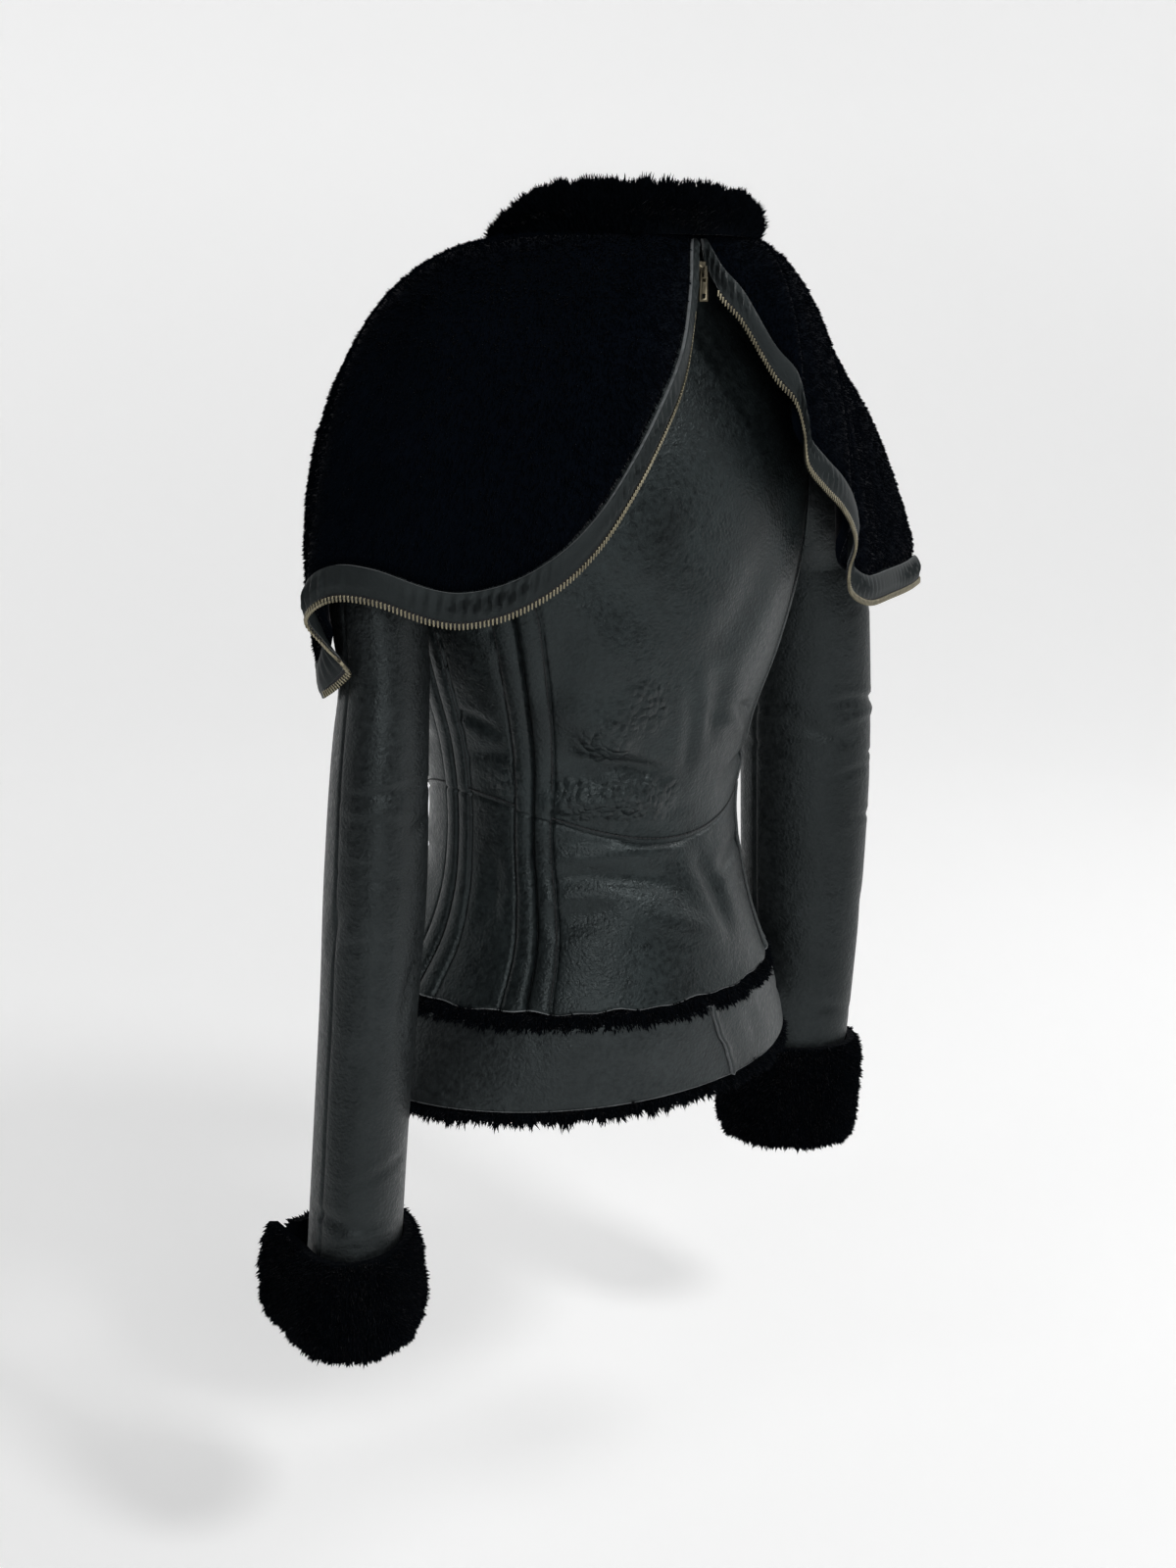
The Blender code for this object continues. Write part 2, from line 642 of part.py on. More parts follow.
# -------------------------------------------------------------------- sleeves
def armhole_point(step):
    """A point of the sleeve's first ring, just inside and outside the armhole."""
    turn, z = armhole(step)
    inset = 1.0 - ARMHOLE_GAP / ARMHOLE_HALF_HEIGHT
    turn = 90.0 + (turn - 90.0) * (1.0 - ARMHOLE_GAP / 55.0)
    z = ARMHOLE_Z + (z - ARMHOLE_Z) * inset
    return body_point(turn, z) + np.array((ARMHOLE_GAP / 2, 0.0, 0.0))


def ring_at(arm, z):
    """Centre and half sizes of a hanging sleeve at a height."""
    rows = arm[::-1]
    keys = column(rows, "z")
    names = ("centre_x", "centre_y", "wide", "narrow")
    return [smooth_through(keys, column(rows, name), z) for name in names]


def arm_ring(arm, z, angle):
    """Outside of the hanging sleeve; angle runs from +X towards +Y."""
    x, y, wide, narrow = ring_at(arm, z)
    away = angle - math.radians(ARM_TURN)
    radius = 1.0 / math.hypot(math.cos(away) / wide, math.sin(away) / narrow)
    return np.array((x + radius * math.cos(angle), y + radius * math.sin(angle), z))


def sleeve_point(arm, end_z, step, row):
    """Sleeve surface: the fanned head first, then one row at each height."""
    angle = 2 * math.pi * step / ARMHOLE_STEPS
    last_head = len(SLEEVE_HEAD) - 1
    if row > last_head:
        share = (row - last_head) / (SLEEVE_ROWS - last_head)
        return arm_ring(arm, arm[0].z + (end_z - arm[0].z) * share, angle)
    keys = np.arange(len(SLEEVE_HEAD), dtype=float)
    names = ("turn", "half_height", "half_depth", "armhole_share")
    turn, high, deep, share = [smooth_through(keys, column(SLEEVE_HEAD, name), row) for name in names]
    turn = math.radians(turn)
    outwards = np.array((math.sin(turn), 0.0, math.cos(turn)))
    settle = ease((row - 2.0) / (last_head - 2.0))
    fan = np.array(UNDERARM) + np.array(UNDERARM_STEP) * row + outwards * high * (1.0 + math.cos(angle))
    fan[1] += deep * math.sin(angle) + (arm[0].centre_y - UNDERARM[1]) * settle
    hanging = arm_ring(arm, arm[0].z, angle)
    hanging[2] += HEAD_LIFT
    settled = HEAD_SETTLE * settle
    fan = fan * (1 - settled) + hanging * settled
    return fan * (1 - share) + armhole_point(step) * share


def sleeve_grids(arm, end_z, first):
    """Half a sleeve, from the seam at step first to the one across from it."""
    half = ARMHOLE_STEPS // 2
    stops = even(first, first + half, half + 1)
    stops[0] += SLEEVE_GAP_STEP
    stops[-1] -= SLEEVE_GAP_STEP
    outer = []
    inner = []
    for row in range(SLEEVE_ROWS + 1):
        outer_row = []
        inner_row = []
        for step in stops:
            point = sleeve_point(arm, end_z, step, row)
            across = sleeve_point(arm, end_z, step + 0.01, row) - sleeve_point(arm, end_z, step - 0.01, row)
            before = sleeve_point(arm, end_z, step, max(row - 0.5, 0.0))
            after = sleeve_point(arm, end_z, step, min(row + 0.5, SLEEVE_ROWS))
            normal = np.cross(after - before, across)
            normal /= np.linalg.norm(normal)
            thick = LEATHER * (SLEEVE_SKIVED if row == 0 else 1.0)
            outer_row.append(point)
            inner_row.append(point - normal * thick)
        outer.append(outer_row)
        inner.append(inner_row)
    return outer, inner


def sleeves():
    """Each sleeve is a back and a front piece, seamed outside and inside."""
    arms = (("left", ARM_LEFT, CUFF_LEFT, False), ("right", ARM_RIGHT, CUFF_RIGHT, True))
    for hand, arm, cuff_size, mirrored in arms:
        for side, first in (("back", SLEEVE_SEAM_STEP), ("front", SLEEVE_SEAM_STEP + ARMHOLE_STEPS // 2)):
            outer, inner = sleeve_grids(arm, cuff_size.sleeve_end_z, first)
            wall_from_grids(f"sleeve_{side}_{hand}", outer, inner, SLEEVE_FINISH, mirrored)
        cuff(hand, arm, cuff_size, mirrored)


def cuff_ends(degrees):
    """How near a place is to each end of the slit, from 0 to 1."""
    near_start = max(0.0, 1.0 - (degrees - CUFF_START) / CUFF_START_REACH) ** 2
    near_end = max(0.0, 1.0 - (CUFF_END - degrees) / CUFF_END_REACH) ** 2
    return near_start, near_end


def cuff(hand, arm, size, mirrored):
    """The sleeve's fur end, turned back, open in a slit at the outer front."""
    outer = []
    inner = []
    for roll in CUFF_PROFILE:
        outer_row = []
        inner_row = []
        for degrees in even(CUFF_START, CUFF_END, CUFF_COLUMNS):
            near_start, near_end = cuff_ends(degrees)
            angle = math.radians(degrees)
            z = size.bottom_z + (size.top_z - size.bottom_z) * roll.share + CUFF_RISE * near_start
            point = arm_ring(arm, z, angle)
            across = arm_ring(arm, z, angle + 1e-3) - arm_ring(arm, z, angle - 1e-3)
            normal = np.cross(across, (0.0, 0.0, 1.0))
            normal /= np.linalg.norm(normal)
            off = CUFF_EASE + CUFF_FLARE * near_start + CUFF_END_FLARE * near_end
            outer_row.append(point + normal * (off + FUR + roll.swell))
            inner_row.append(point + normal * off)
        outer.append(outer_row)
        inner.append(inner_row)
    wall_from_grids(f"cuff_{hand}", outer, inner, FUR_FINISH, mirrored)


# --------------------------------------------------------------- collar, hood
def neck_point(turn, grow, z_above):
    angle = math.radians(turn)
    return np.array((
        (NECK_RING.half_width + grow) * math.sin(angle),
        NECK_RING.centre_y + (NECK_RING.half_depth + grow) * math.cos(angle),
        neck_z(turn) + z_above,
    ))


def collar_slope(turn):
    """From 0 at the back of the stand to 1 at its ends at the throat."""
    return ease((abs(turn) - COLLAR_SLOPE_TURN) / (COLLAR_END - COLLAR_SLOPE_TURN))


def collar_height(turn):
    tilt = COLLAR_TILT * math.cos(math.radians(turn + COLLAR_TILT_TURN))
    return (COLLAR_HEIGHT - tilt) * (1.0 - (1.0 - COLLAR_END_SHARE) * collar_slope(turn))


def collar():
    """The fur stand, a thick rounded roll that is open at the throat."""
    outer = []
    inner = []
    for share, swell in COLLAR_PROFILE:
        outer_row = []
        inner_row = []
        for turn in even(-COLLAR_END, COLLAR_END, COLLAR_COLUMNS):
            height = collar_height(turn) * share
            wave = COLLAR_WAVE * math.sin(math.radians(turn) * COLLAR_WAVES) * share
            spread = COLLAR_SPREAD * collar_slope(turn) * share
            rim = COLLAR_SKIN if share == 1.0 else 0.0
            inside = COLLAR_SKIN - COLLAR_FUR + rim - COLLAR_LEAN * share
            outer_row.append(neck_point(turn, swell + wave + spread, height))
            inner_row.append(neck_point(turn, inside + spread, height))
        outer.append(outer_row)
        inner.append(inner_row)
    wall_from_grids("collar", outer, inner, FUR_FINISH)


class HoodHalf:
    """One hood half as a smooth sheet of ribs from neckline to free edge."""

    def __init__(self, hand, ribs, tucks, zip_last, mirrored):
        self.hand = hand
        self.ribs = ribs
        self.keys = np.arange(len(ribs), dtype=float)
        self.tucks = tucks
        self.zip_last = zip_last
        self.mirrored = mirrored
        self.cache = {}

    def value(self, name, k):
        return smooth_through(self.keys, column(self.ribs, name), k)

    def rib_line(self, k):
        """Points along a rib and their distance from the free edge."""
        key = round(k, 5)
        if key in self.cache:
            return self.cache[key]
        turn = self.value("root_turn", k)
        root = neck_point(turn, 0.0, -SEAM_GAP - 0.2)
        edge = np.array([self.value(name, k) for name in ("edge_x", "edge_y", "edge_z")])
        radial = np.array((math.sin(math.radians(turn)), math.cos(math.radians(turn)), 0.0))
        side = np.array((edge[0], edge[1], 0.0))
        side /= np.linalg.norm(side)
        first = root + radial * self.value("reach", k)
        first[2] -= self.value("fall", k)
        last = edge + side * self.value("swell", k)
        last += (0.0, -self.value("sweep", k), self.value("lift", k))
        ts = np.linspace(0.0, 1.0, 49)[:, None]
        line = (
            (1 - ts) ** 3 * root
            + 3 * (1 - ts) ** 2 * ts * first
            + 3 * (1 - ts) * ts**2 * last
            + ts**3 * edge
        )
        steps = np.linalg.norm(np.diff(line, axis=0), axis=1)
        from_root = np.concatenate(([0.0], np.cumsum(steps)))
        self.cache[key] = (line, from_root)
        return self.cache[key]

    def length(self, k):
        return self.rib_line(k)[1][-1]

    def at(self, k, from_edge):
        """The point from_edge millimetres up the rib from its free edge."""
        line, from_root = self.rib_line(k)
        distance = from_root[-1] - from_edge
        point = np.array([np.interp(distance, from_root, line[:, axis]) for axis in range(3)])
        felt = max(0.0, 1.0 - from_edge / TUCK_REACH) ** 2
        ribs = column(self.tucks, "rib")
        tuck = [np.interp(k, ribs, column(self.tucks, name)) for name in ("x", "y")]
        return point + np.array((*tuck, 0.0)) * felt

    def normal(self, k, from_edge):
        """Outward direction, the same for the whole zip and the tape beside it."""
        last = self.keys[-1]
        from_edge = max(from_edge, ZIP_ROOM)
        reach = 2.0
        high = min(from_edge + reach, self.length(k))
        low = max(from_edge - reach, 0.0)
        down = self.at(k, low) - self.at(k, high)
        k_low = max(k - 0.2, 0.0)
        k_high = min(k + 0.2, last)
        share = from_edge / self.length(k)
        across = self.at(k_high, share * self.length(k_high)) - self.at(k_low, share * self.length(k_low))
        out = np.cross(across, down)
        return out / np.linalg.norm(out)

    def strip(self, name, near, far, rows, ks, thickness, finish, round_off=0.0):
        """A wall between two distances from the free edge, each a function of k."""
        outer = []
        inner = []
        for r in range(rows):
            outer_row = []
            inner_row = []
            for k in ks:
                distance = far(k) + (near(k) - far(k)) * r / (rows - 1)
                point = self.at(k, distance)
                out = self.normal(k, distance)
                depth = thickness(k, distance) if callable(thickness) else thickness
                edge_row = r == rows - 1
                outer_row.append(point - out * (round_off if edge_row else 0.0))
                inner_row.append(point - out * depth)
            outer.append(outer_row)
            inner.append(inner_row)
        wall_from_grids(f"{name}_{self.hand}", outer, inner, finish, self.mirrored)

    def build(self):
        ks = even(0.0, self.keys[-1], 2 * len(self.ribs) - 1)

        def binding_top(k):
            return min(ZIP_ROOM + BINDING_WIDTH, self.length(k) - SHORTEST_FUR)

        def fur_edge(k):
            return binding_top(k) + SEAM_GAP

        def pile(k, from_edge):
            """The pile is pressed flat where it lies on the sleeve."""
            return FUR - PRESSED * math.exp(-((k - self.zip_last) / 2.5) ** 2)

        self.strip("hood", fur_edge, self.length, 8, ks, pile, FUR_FINISH, 3.0)
        self.strip("hood_binding", lambda k: ZIP_ROOM, binding_top, 2, ks, BINDING, BINDING_FINISH)
        zip_ks = [k for k in ks if ZIP_FIRST_RIB < k <= self.zip_last]
        self.strip("zip", lambda k: 0.0, lambda k: ZIP_WIDTH, 2, zip_ks, ZIP_THICK, METAL_FINISH)


# ---------------------------------------------------------- slider and its pull
def block(name, low, high, finish):
    """A box between two corners, in millimetres."""
    bm = bmesh.new()
    corners = [[low[axis] * MM, high[axis] * MM] for axis in range(3)]
    spots = [bm.verts.new((x, y, z)) for x in corners[0] for y in corners[1] for z in corners[2]]
    for face in ((0, 1, 3, 2), (4, 6, 7, 5), (0, 4, 5, 1), (2, 3, 7, 6), (0, 2, 6, 4), (1, 5, 7, 3)):
        bm.faces.new([spots[n] for n in face])
    return make_object(name, bm, finish)


def hide_cutter(tool):
    tool.hide_render = True
    tool.display_type = "WIRE"


def cut(target, tool, operation="DIFFERENCE"):
    modifier = target.modifiers.new(tool.name, "BOOLEAN")
    modifier.operation = operation
    modifier.object = tool
    hide_cutter(tool)


def pull_axis():
    """Middle of the pull's bar, which turns inside the slider's bail."""
    return np.array((SLIDER_X, SLIDER_FACE_Y + BAIL_HOLE[0] / 2, SLIDER_TOP_Z - SLIDER_SIZE[2] / 2))


def zip_slider():
    width, depth, height = SLIDER_SIZE
    low = (SLIDER_X - width / 2, SLIDER_FACE_Y - depth, SLIDER_TOP_Z - height)
    high = (SLIDER_X + width / 2, SLIDER_FACE_Y, SLIDER_TOP_Z)
    slider = block("zip_slider", low, high, METAL_FINISH)
    axis = pull_axis()
    bail_width, bail_out, bail_length = BAIL_SIZE
    bail = block("bail", (SLIDER_X - bail_width / 2, SLIDER_FACE_Y - 1.0, axis[2] - bail_length / 2),
                 (SLIDER_X + bail_width / 2, SLIDER_FACE_Y + bail_out, axis[2] + bail_length / 2),
                 METAL_FINISH)
    cut(slider, bail, "UNION")
    hole = block("bail_hole", (SLIDER_X - width, SLIDER_FACE_Y, axis[2] - BAIL_HOLE[1] / 2),
                 (SLIDER_X + width, SLIDER_FACE_Y + BAIL_HOLE[0], axis[2] + BAIL_HOLE[1] / 2),
                 METAL_FINISH)
    cut(slider, hole)


def zip_pull():
    """A tapered tab that hangs from the bail; its origin is on the bar's axis."""
    axis = pull_axis()
    bm = bmesh.new()
    top = PULL_BAR / 2
    outline = (
        (-PULL_TOP_WIDTH / 2, top),
        (PULL_TOP_WIDTH / 2, top),
        (PULL_END_WIDTH / 2, top - PULL_LENGTH),
        (-PULL_END_WIDTH / 2, top - PULL_LENGTH),
    )
    front = [bm.verts.new((x * MM, PULL_THICK / 2 * MM, z * MM)) for x, z in outline]
    back = [bm.verts.new((x * MM, -PULL_THICK / 2 * MM, z * MM)) for x, z in outline]
    bm.faces.new(front)
    bm.faces.new(back[::-1])
    for n in range(4):
        after = (n + 1) % 4
        bm.faces.new((front[n], back[n], back[after], front[after]))
    pull = make_object("zip_pull", bm, METAL_FINISH)
    pull.location = [value * MM for value in axis]
    window_top = axis[2] - PULL_BAR / 2
    window_low = (SLIDER_X - PULL_WINDOW[0] / 2, axis[1] - PULL_THICK, window_top - PULL_WINDOW[1])
    window_high = (SLIDER_X + PULL_WINDOW[0] / 2, axis[1] + PULL_THICK, window_top)
    cut(pull, block("pull_window", window_low, window_high, METAL_FINISH))
    hole_z = axis[2] + top - PULL_LENGTH + PULL_RIM
    hole_low = (SLIDER_X - PULL_HOLE / 2, axis[1] - PULL_THICK, hole_z)
    hole_high = (SLIDER_X + PULL_HOLE / 2, axis[1] + PULL_THICK, hole_z + PULL_HOLE)
    cut(pull, block("pull_hole", hole_low, hole_high, METAL_FINISH))


def main():
    clear_scene()
    lower_body()
    upper_back()
    upper_side_backs()
    upper_fronts()
    hem()
    sleeves()
    collar()
    HoodHalf("left", HOOD_LEFT, TUCKS_LEFT, ZIP_LAST_RIB_LEFT, False).build()
    HoodHalf("right", HOOD_RIGHT, TUCKS_RIGHT, ZIP_LAST_RIB_RIGHT, True).build()
    zip_slider()
    zip_pull()


main()
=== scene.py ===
"""Looks of the hooded shearling jacket, laid over its solids.

The leather panels, bindings and furs are rebuilt as finer shells on the forms
of their solids, from the same sizes in millimetres, and get their creases,
grain, pile, stitches and metal teeth here. +Z is up and the wearer faces -Y.
"""

import math
from collections import namedtuple

import bmesh
import bpy
import numpy as np
from mathutils import Matrix, Vector


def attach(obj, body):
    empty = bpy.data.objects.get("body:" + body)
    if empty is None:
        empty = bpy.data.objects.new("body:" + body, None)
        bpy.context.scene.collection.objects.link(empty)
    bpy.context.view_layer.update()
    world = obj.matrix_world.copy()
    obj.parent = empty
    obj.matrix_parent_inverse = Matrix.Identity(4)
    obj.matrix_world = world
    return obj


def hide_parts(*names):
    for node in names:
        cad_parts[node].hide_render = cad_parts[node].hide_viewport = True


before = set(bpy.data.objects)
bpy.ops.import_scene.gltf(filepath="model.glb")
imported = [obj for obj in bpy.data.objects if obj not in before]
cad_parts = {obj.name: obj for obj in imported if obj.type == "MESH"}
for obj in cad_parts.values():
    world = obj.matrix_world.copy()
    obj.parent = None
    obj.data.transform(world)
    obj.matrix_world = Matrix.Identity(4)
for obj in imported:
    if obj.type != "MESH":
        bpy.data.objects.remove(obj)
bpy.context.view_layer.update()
MM = 0.001

# ------------------------------------------------- sizes of the garment, mm
SEAM_GAP = 0.3           # between pieces that meet at a seam
LEATHER = 3.0            # skin with its clipped pile, body and sleeves
FUR = 11.0               # skin with its full pile, hood and cuffs
PRESSED = 3.5            # how much of the pile lies flat at the hood's front corner
COLLAR_FUR = 13.0        # the collar stand, furred on both faces
BINDING = 2.4            # leather binding round the hood
ZIP_WIDTH = 4.6          # one half of the zip, teeth and cord
ZIP_ROOM = ZIP_WIDTH + 0.6          # the tape starts this far from the edge
BINDING_WIDTH = 17.5     # between the fur and the zip
SHORTEST_FUR = 6.0       # fur left above the binding at the nape

WAIST_BACK_Z = -399.0    # waist seam at the centre back
WAIST_RISE = 38.0        # how much higher the waist seam runs at the sides
BODY_EDGE_Z = -507.0     # lower edge of the body panels
BAND_TOP_Z = -516.0
BAND_BOTTOM_Z = -575.0
HEM_Z = -585.0           # lowest pile of the hem

NECK_Z = 16.0            # underside of the collar at the centre back
NECK_DROP = 8.0          # how much lower the neckline runs at the front
COLLAR_HEIGHT = 26.0
COLLAR_TILT = 5.0        # the stand leans down towards the right back
COLLAR_TILT_TURN = 48.0
COLLAR_END = 154.0       # degrees from the centre back to its end at the throat
COLLAR_SPREAD = 9.0      # how far the ends fall open
COLLAR_WAVE = 1.2        # soft waves along its rim
COLLAR_WAVES = 5
COLLAR_SKIN = 2.0        # the rim is this much thinner, and starts this far out
COLLAR_LEAN = 4.0        # how far the inner face leans in at the top

PRINCESS = 55.0          # degrees round the body from the centre back
PRINCESS_DRIFT = 4.0     # degrees that the seam runs inwards down to the band
DRIFT_SPREAD = 30.0      # degrees beside the seam that drift with it
PRINCESS_BEND_Z = -245.0 # above this the seam bends out into the armhole
SIDE_SEAM = 88.0
SIDE_BEND = 40.0         # height over which the side seam bends into the armhole
BAND_SEAM = -6.0
WELT_WIDTH = 14.0        # a padded welt beside a seam
WELT_RAISE = 2.4
SIDE_WELT_END = 28.0     # the side welts die away over this height at the armhole
PRINCESS_WELT_END = 20.0
SHOULDER_DROP = 2.5      # from the underside of the hood to the top of the body

ARMHOLE_Z = -133.0       # middle of the armhole
ARMHOLE_HALF_HEIGHT = 82.0
ARMHOLE_HALF_ANGLE = 28.0
ARMHOLE_STEPS = 20
ARMHOLE_GAP = 0.6        # sleeve to body, a little over a seam as both are faceted
PRINCESS_STEP = 6        # armhole step where the princess seam runs in
SLEEVE_SEAM_STEP = 1     # armhole step where the outer sleeve seam starts
ARM_TURN = 48.0          # degrees from +X to the wide axis of the hanging sleeve
SLEEVE_ROWS = 16         # rows of points from the armhole to the sleeve's end
SLEEVE_SKIVED = 0.7      # share of the thickness that is left where it is sewn in
HEAD_LIFT = 34.0         # the fan ends this far above the top of the hanging sleeve
HEAD_SETTLE = 0.6        # how much the fan's end has taken that sleeve's outline

CUFF_EASE = 1.2          # the cuff's inner face stands this far off the sleeve
CUFF_START = -38.0       # degrees from +X to one end of the slit
CUFF_END = 296.0         # and to the other
CUFF_FLARE = 20.0        # how far the first end stands out
CUFF_END_FLARE = 10.0
CUFF_START_REACH = 42.0  # degrees over which each end lifts away
CUFF_END_REACH = 36.0
CUFF_RISE = 9.0          # how much higher the first end sits

# ------------------------------------------------- sizes of the finish, mm
VELVET_WIDTH = 0.6       # the hood is shorn, so its locks are fine and even
PILE = 2.6               # length of pile that stands free of its dense base
PILE_WIDTH = 1.0         # one lock of pile
COLLAR_PILE = 8.5
CUFF_PILE = 5.0
LONG_PILE = 7.0          # combed pile of the collar, cuffs and hem
FRINGE_TUCK = 5.0        # how far the hem's pile goes up behind the skin
STAND_SLOPE_TURN = 62.0  # from here the fur stand falls towards the throat
STAND_LOW_TURN = 136.0
STAND_END_SHARE = 0.15
COLLAR_FOOT = 7.0        # how far the collar's pile spreads over the hood's root
COLLAR_FOOT_DROP = 4.0   # and how far it reaches down into it
STITCH_PITCH = 3.6
STITCH_LENGTH = 2.6
TOOTH_PITCH = 2.6
TOOTH_SIZE = (1.5, 4.2, 2.7)     # along the zip, across it, and through it
SEAM_SINK = 1.2          # how deep a seam lies
SEAM_SOFTNESS = 1.3      # how far its edges round over
WELT_SINK = 1.1          # the seam between two welts lies deeper
BODY_RELIEF = 3.0        # how much deeper than their table the body's creases are
STITCH_SINK = 1.7        # groove that a line of stitches pulls
SEAM_LEAN = 4.2          # degrees that the hem band's seam leans, each way
DRAWN_GAP = 0.04         # seams are pulled shut, so no light shows through
SEAM_STOPS = (0.0, 0.6, 1.3, 2.2, 3.5, 5.5)
WELT_STOPS = (0.0, 0.6, 1.3, 2.2, 3.4, 5.0, 7.0, 9.0, 10.6, 12.0, 13.0, 13.7, 14.4, 15.4, 17.0)
PUCKER = 2.0             # height of the binding's puckers
PUCKER_LENGTH = 7.5
FLOOR_Z = -900.0
BODY_RADIUS = 115.0      # turns degrees round the body into millimetres
SLEEVE_DEGREE = 0.68     # length of one degree round a sleeve
ARMHOLE_WIDTH = 55.0     # half width over which the sleeve's gap is taken off
HOOD_RIB_MM = 24.0       # width of one rib, for the folds
CREASE_RELIEF = 1.4      # how much deeper than their table the other creases are
CREASE_BOW = 0.12        # how far a crease bends away along its length
CREASE_CREST = 0.35      # share that is taken back along its middle
CRUSH_CORE = 0.4         # share of a crushed place that is crushed in full
COLLAR_LOCKS = 30000     # locks of pile on each piece
CUFF_LOCKS = 22000
FRINGE_LOCKS = 18000
HOOD_LOCKS = 39000
STITCH_RISE = 0.35       # a stitch's middle, above the skin
STITCH_INSET = 1.2       # from the foot of a welt to its stitches
STITCH_CLEAR = 3.6       # the waist's stitches run this far above their seam
STITCH_SECTION = (0.7, 0.6)
STITCH_FOOT = 1.25       # a stitch is this much longer where it goes in
TOOTH_NOSE = 0.62        # a tooth's nose is this much narrower than its foot
TOOTH_BEVEL = 0.22
CAST_BEVEL = 0.25        # softened edge of the slider and its pull
PAPER_GLOW = (0.335, 0.39)           # painted glow of the paper, at the floor and 2 m up
AIR_GLOW = 0.05
LOWER_HEIGHT = 110.0     # lengths along which rows of points are shared out
BACK_HEIGHT = 220.0
SIDE_HEIGHT = 200.0
FRONT_HEIGHT = 190.0
SLEEVE_HALF = 125.0
RAW_EDGE_DROP = 0.8      # the body's cut edge hangs this much lower, and curls
RAW_CURL = 1.4
LAP_CURL = 3.4           # the right half of the band curls up at its seam
BUTT_CURL = 0.6          # and the left half hardly
BAND_RUCK = 0.6
COLLAR_FOLD = 1.8
CUFF_LUMP = 1.2
PILE_SINK = 2.5          # a cuff's dense base lies this far under its pile
HOOD_SINK = 2.0          # and the hood's this far
HOOD_ROLL = 4.0          # how far the hood's pile rolls in at its binding
BINDING_CROWN = 1.3
BINDING_GROOVE = 0.8     # pulled in by the stitches beside the zip
CORD_RISE = 0.7          # the cord along the edge of the tape
TOOTH_ENDS = (0.6, 3.6)  # from the free edge to the nose and foot of a tooth
SIDE_STITCH_TOP_Z = -235.0

# ------------------------------------------------------------------- tables
Section = namedtuple("Section", "z half_width half_depth centre_y")


def table(kind, *rows):
    """Rows of numbers, each with the names of its kind."""
    return tuple(kind(*row) for row in rows)


BODY = table(
    Section,
    (-600, 184, 152, -66), (-575, 180, 150, -65), (-505, 150, 146, -62), (-470, 131, 133, -55),
    (-435, 122, 117, -49), (-399, 119, 105, -46), (-330, 126, 112, -42), (-270, 147, 122, -36),
    (-215, 164, 125, -32), (-140, 170, 114, -22), (-85, 170, 90, -14), (-50, 162, 73, -8),
    (-22, 122, 68, -5), (6, 79, 66, -3),
)

# A hanging sleeve at one height: its centre, half its wide and narrow way.
ArmSection = namedtuple("ArmSection", "z centre_x centre_y wide narrow")
ARM_LEFT = table(
    ArmSection,
    (-262, 198, -13, 45, 29), (-330, 206, -11, 48, 32), (-404, 212, -10, 48, 34),
    (-480, 219, -10, 46, 33), (-560, 227, -11, 44, 32), (-668, 236, -13, 43, 32),
)
ARM_RIGHT = table(
    ArmSection,
    (-262, 212, -20, 48, 32), (-330, 221, -29, 52, 33), (-404, 226, -32, 52, 34),
    (-480, 226, -32, 50, 33), (-560, 224, -30, 45, 33), (-668, 213, -30, 43, 32),
)

# The sleeve head fans out from the underarm: turn of the ring from upright,
# half its height, half its depth, and how much it still follows the armhole.
Fan = namedtuple("Fan", "turn half_height half_depth armhole_share")
SLEEVE_HEAD = table(
    Fan,
    (0, 82, 54, 1.0), (14, 73, 50, 0.35), (30, 56, 43, 0.05), (48, 43, 38, 0.0), (68, 37, 36, 0.0),
    (90, 34, 36, 0.0),
)
UNDERARM = (167.0, -14.0, -213.0)
UNDERARM_STEP = (1.5, 0.0, -4.0)      # the fan's foot moves this way with each row

# One half of the hood, rib by rib, from the zip at the nape round to the
# front edge. A rib leaves the neckline at root_turn (degrees from the centre
# back), reaches outwards, falls, and comes down onto the free edge from
# lift above it, swell outside it and sweep in front of it.
Rib = namedtuple("Rib", "root_turn edge_x edge_y edge_z reach fall lift swell sweep")
HOOD_LEFT = table(
    Rib,
    (6, 13, 80, -5, 1, 6, 6, 0, 0), (12, 17, 87, -27, 5, 6, 12, 1, 0), (20, 34, 99, -67, 12, 3, 25, 3, 0),
    (27, 50, 107, -92, 20, 1, 38, 5, 0), (34, 76, 116, -121, 30, 0, 54, 6, 0),
    (41, 101, 121, -149, 38, -1, 74, 6, 0), (48, 127, 120, -179, 46, -2, 98, 6, 0),
    (55, 152, 113, -202, 56, -4, 120, 6, 0), (62, 178, 98, -219, 66, -5, 142, 7, 0),
    (69, 202, 81, -226, 76, -6, 160, 8, 0), (76, 221, 67, -223, 84, -6, 170, 9, 0),
    (83, 245, 48, -212, 88, -4, 170, 8, 0), (88, 260, 29, -209, 90, -4, 170, 6, 0),
    (93, 267, 12, -215, 91, -3, 170, 2, 0), (98, 265, -3, -227, 92, -3, 168, 2, 2),
    (103, 257, -5, -243, 92, -2, 166, 12, 6), (108, 250, -4, -260, 92, -2, 166, 22, 14),
    (112, 244, -16, -277, 92, -2, 168, 22, 23), (117, 230, -38, -286, 90, -1, 172, 26, 24),
    (123, 206, -74, -264, 90, -4, 156, 26, 10), (129, 180, -106, -214, 70, 2, 116, 18, 4),
    (137, 144, -112, -158, 42, 4, 74, 8, 0), (145, 106, -118, -106, 30, 6, 44, 6, 0),
    (152, 68, -108, -56, 18, 6, 20, 3, 0),
)
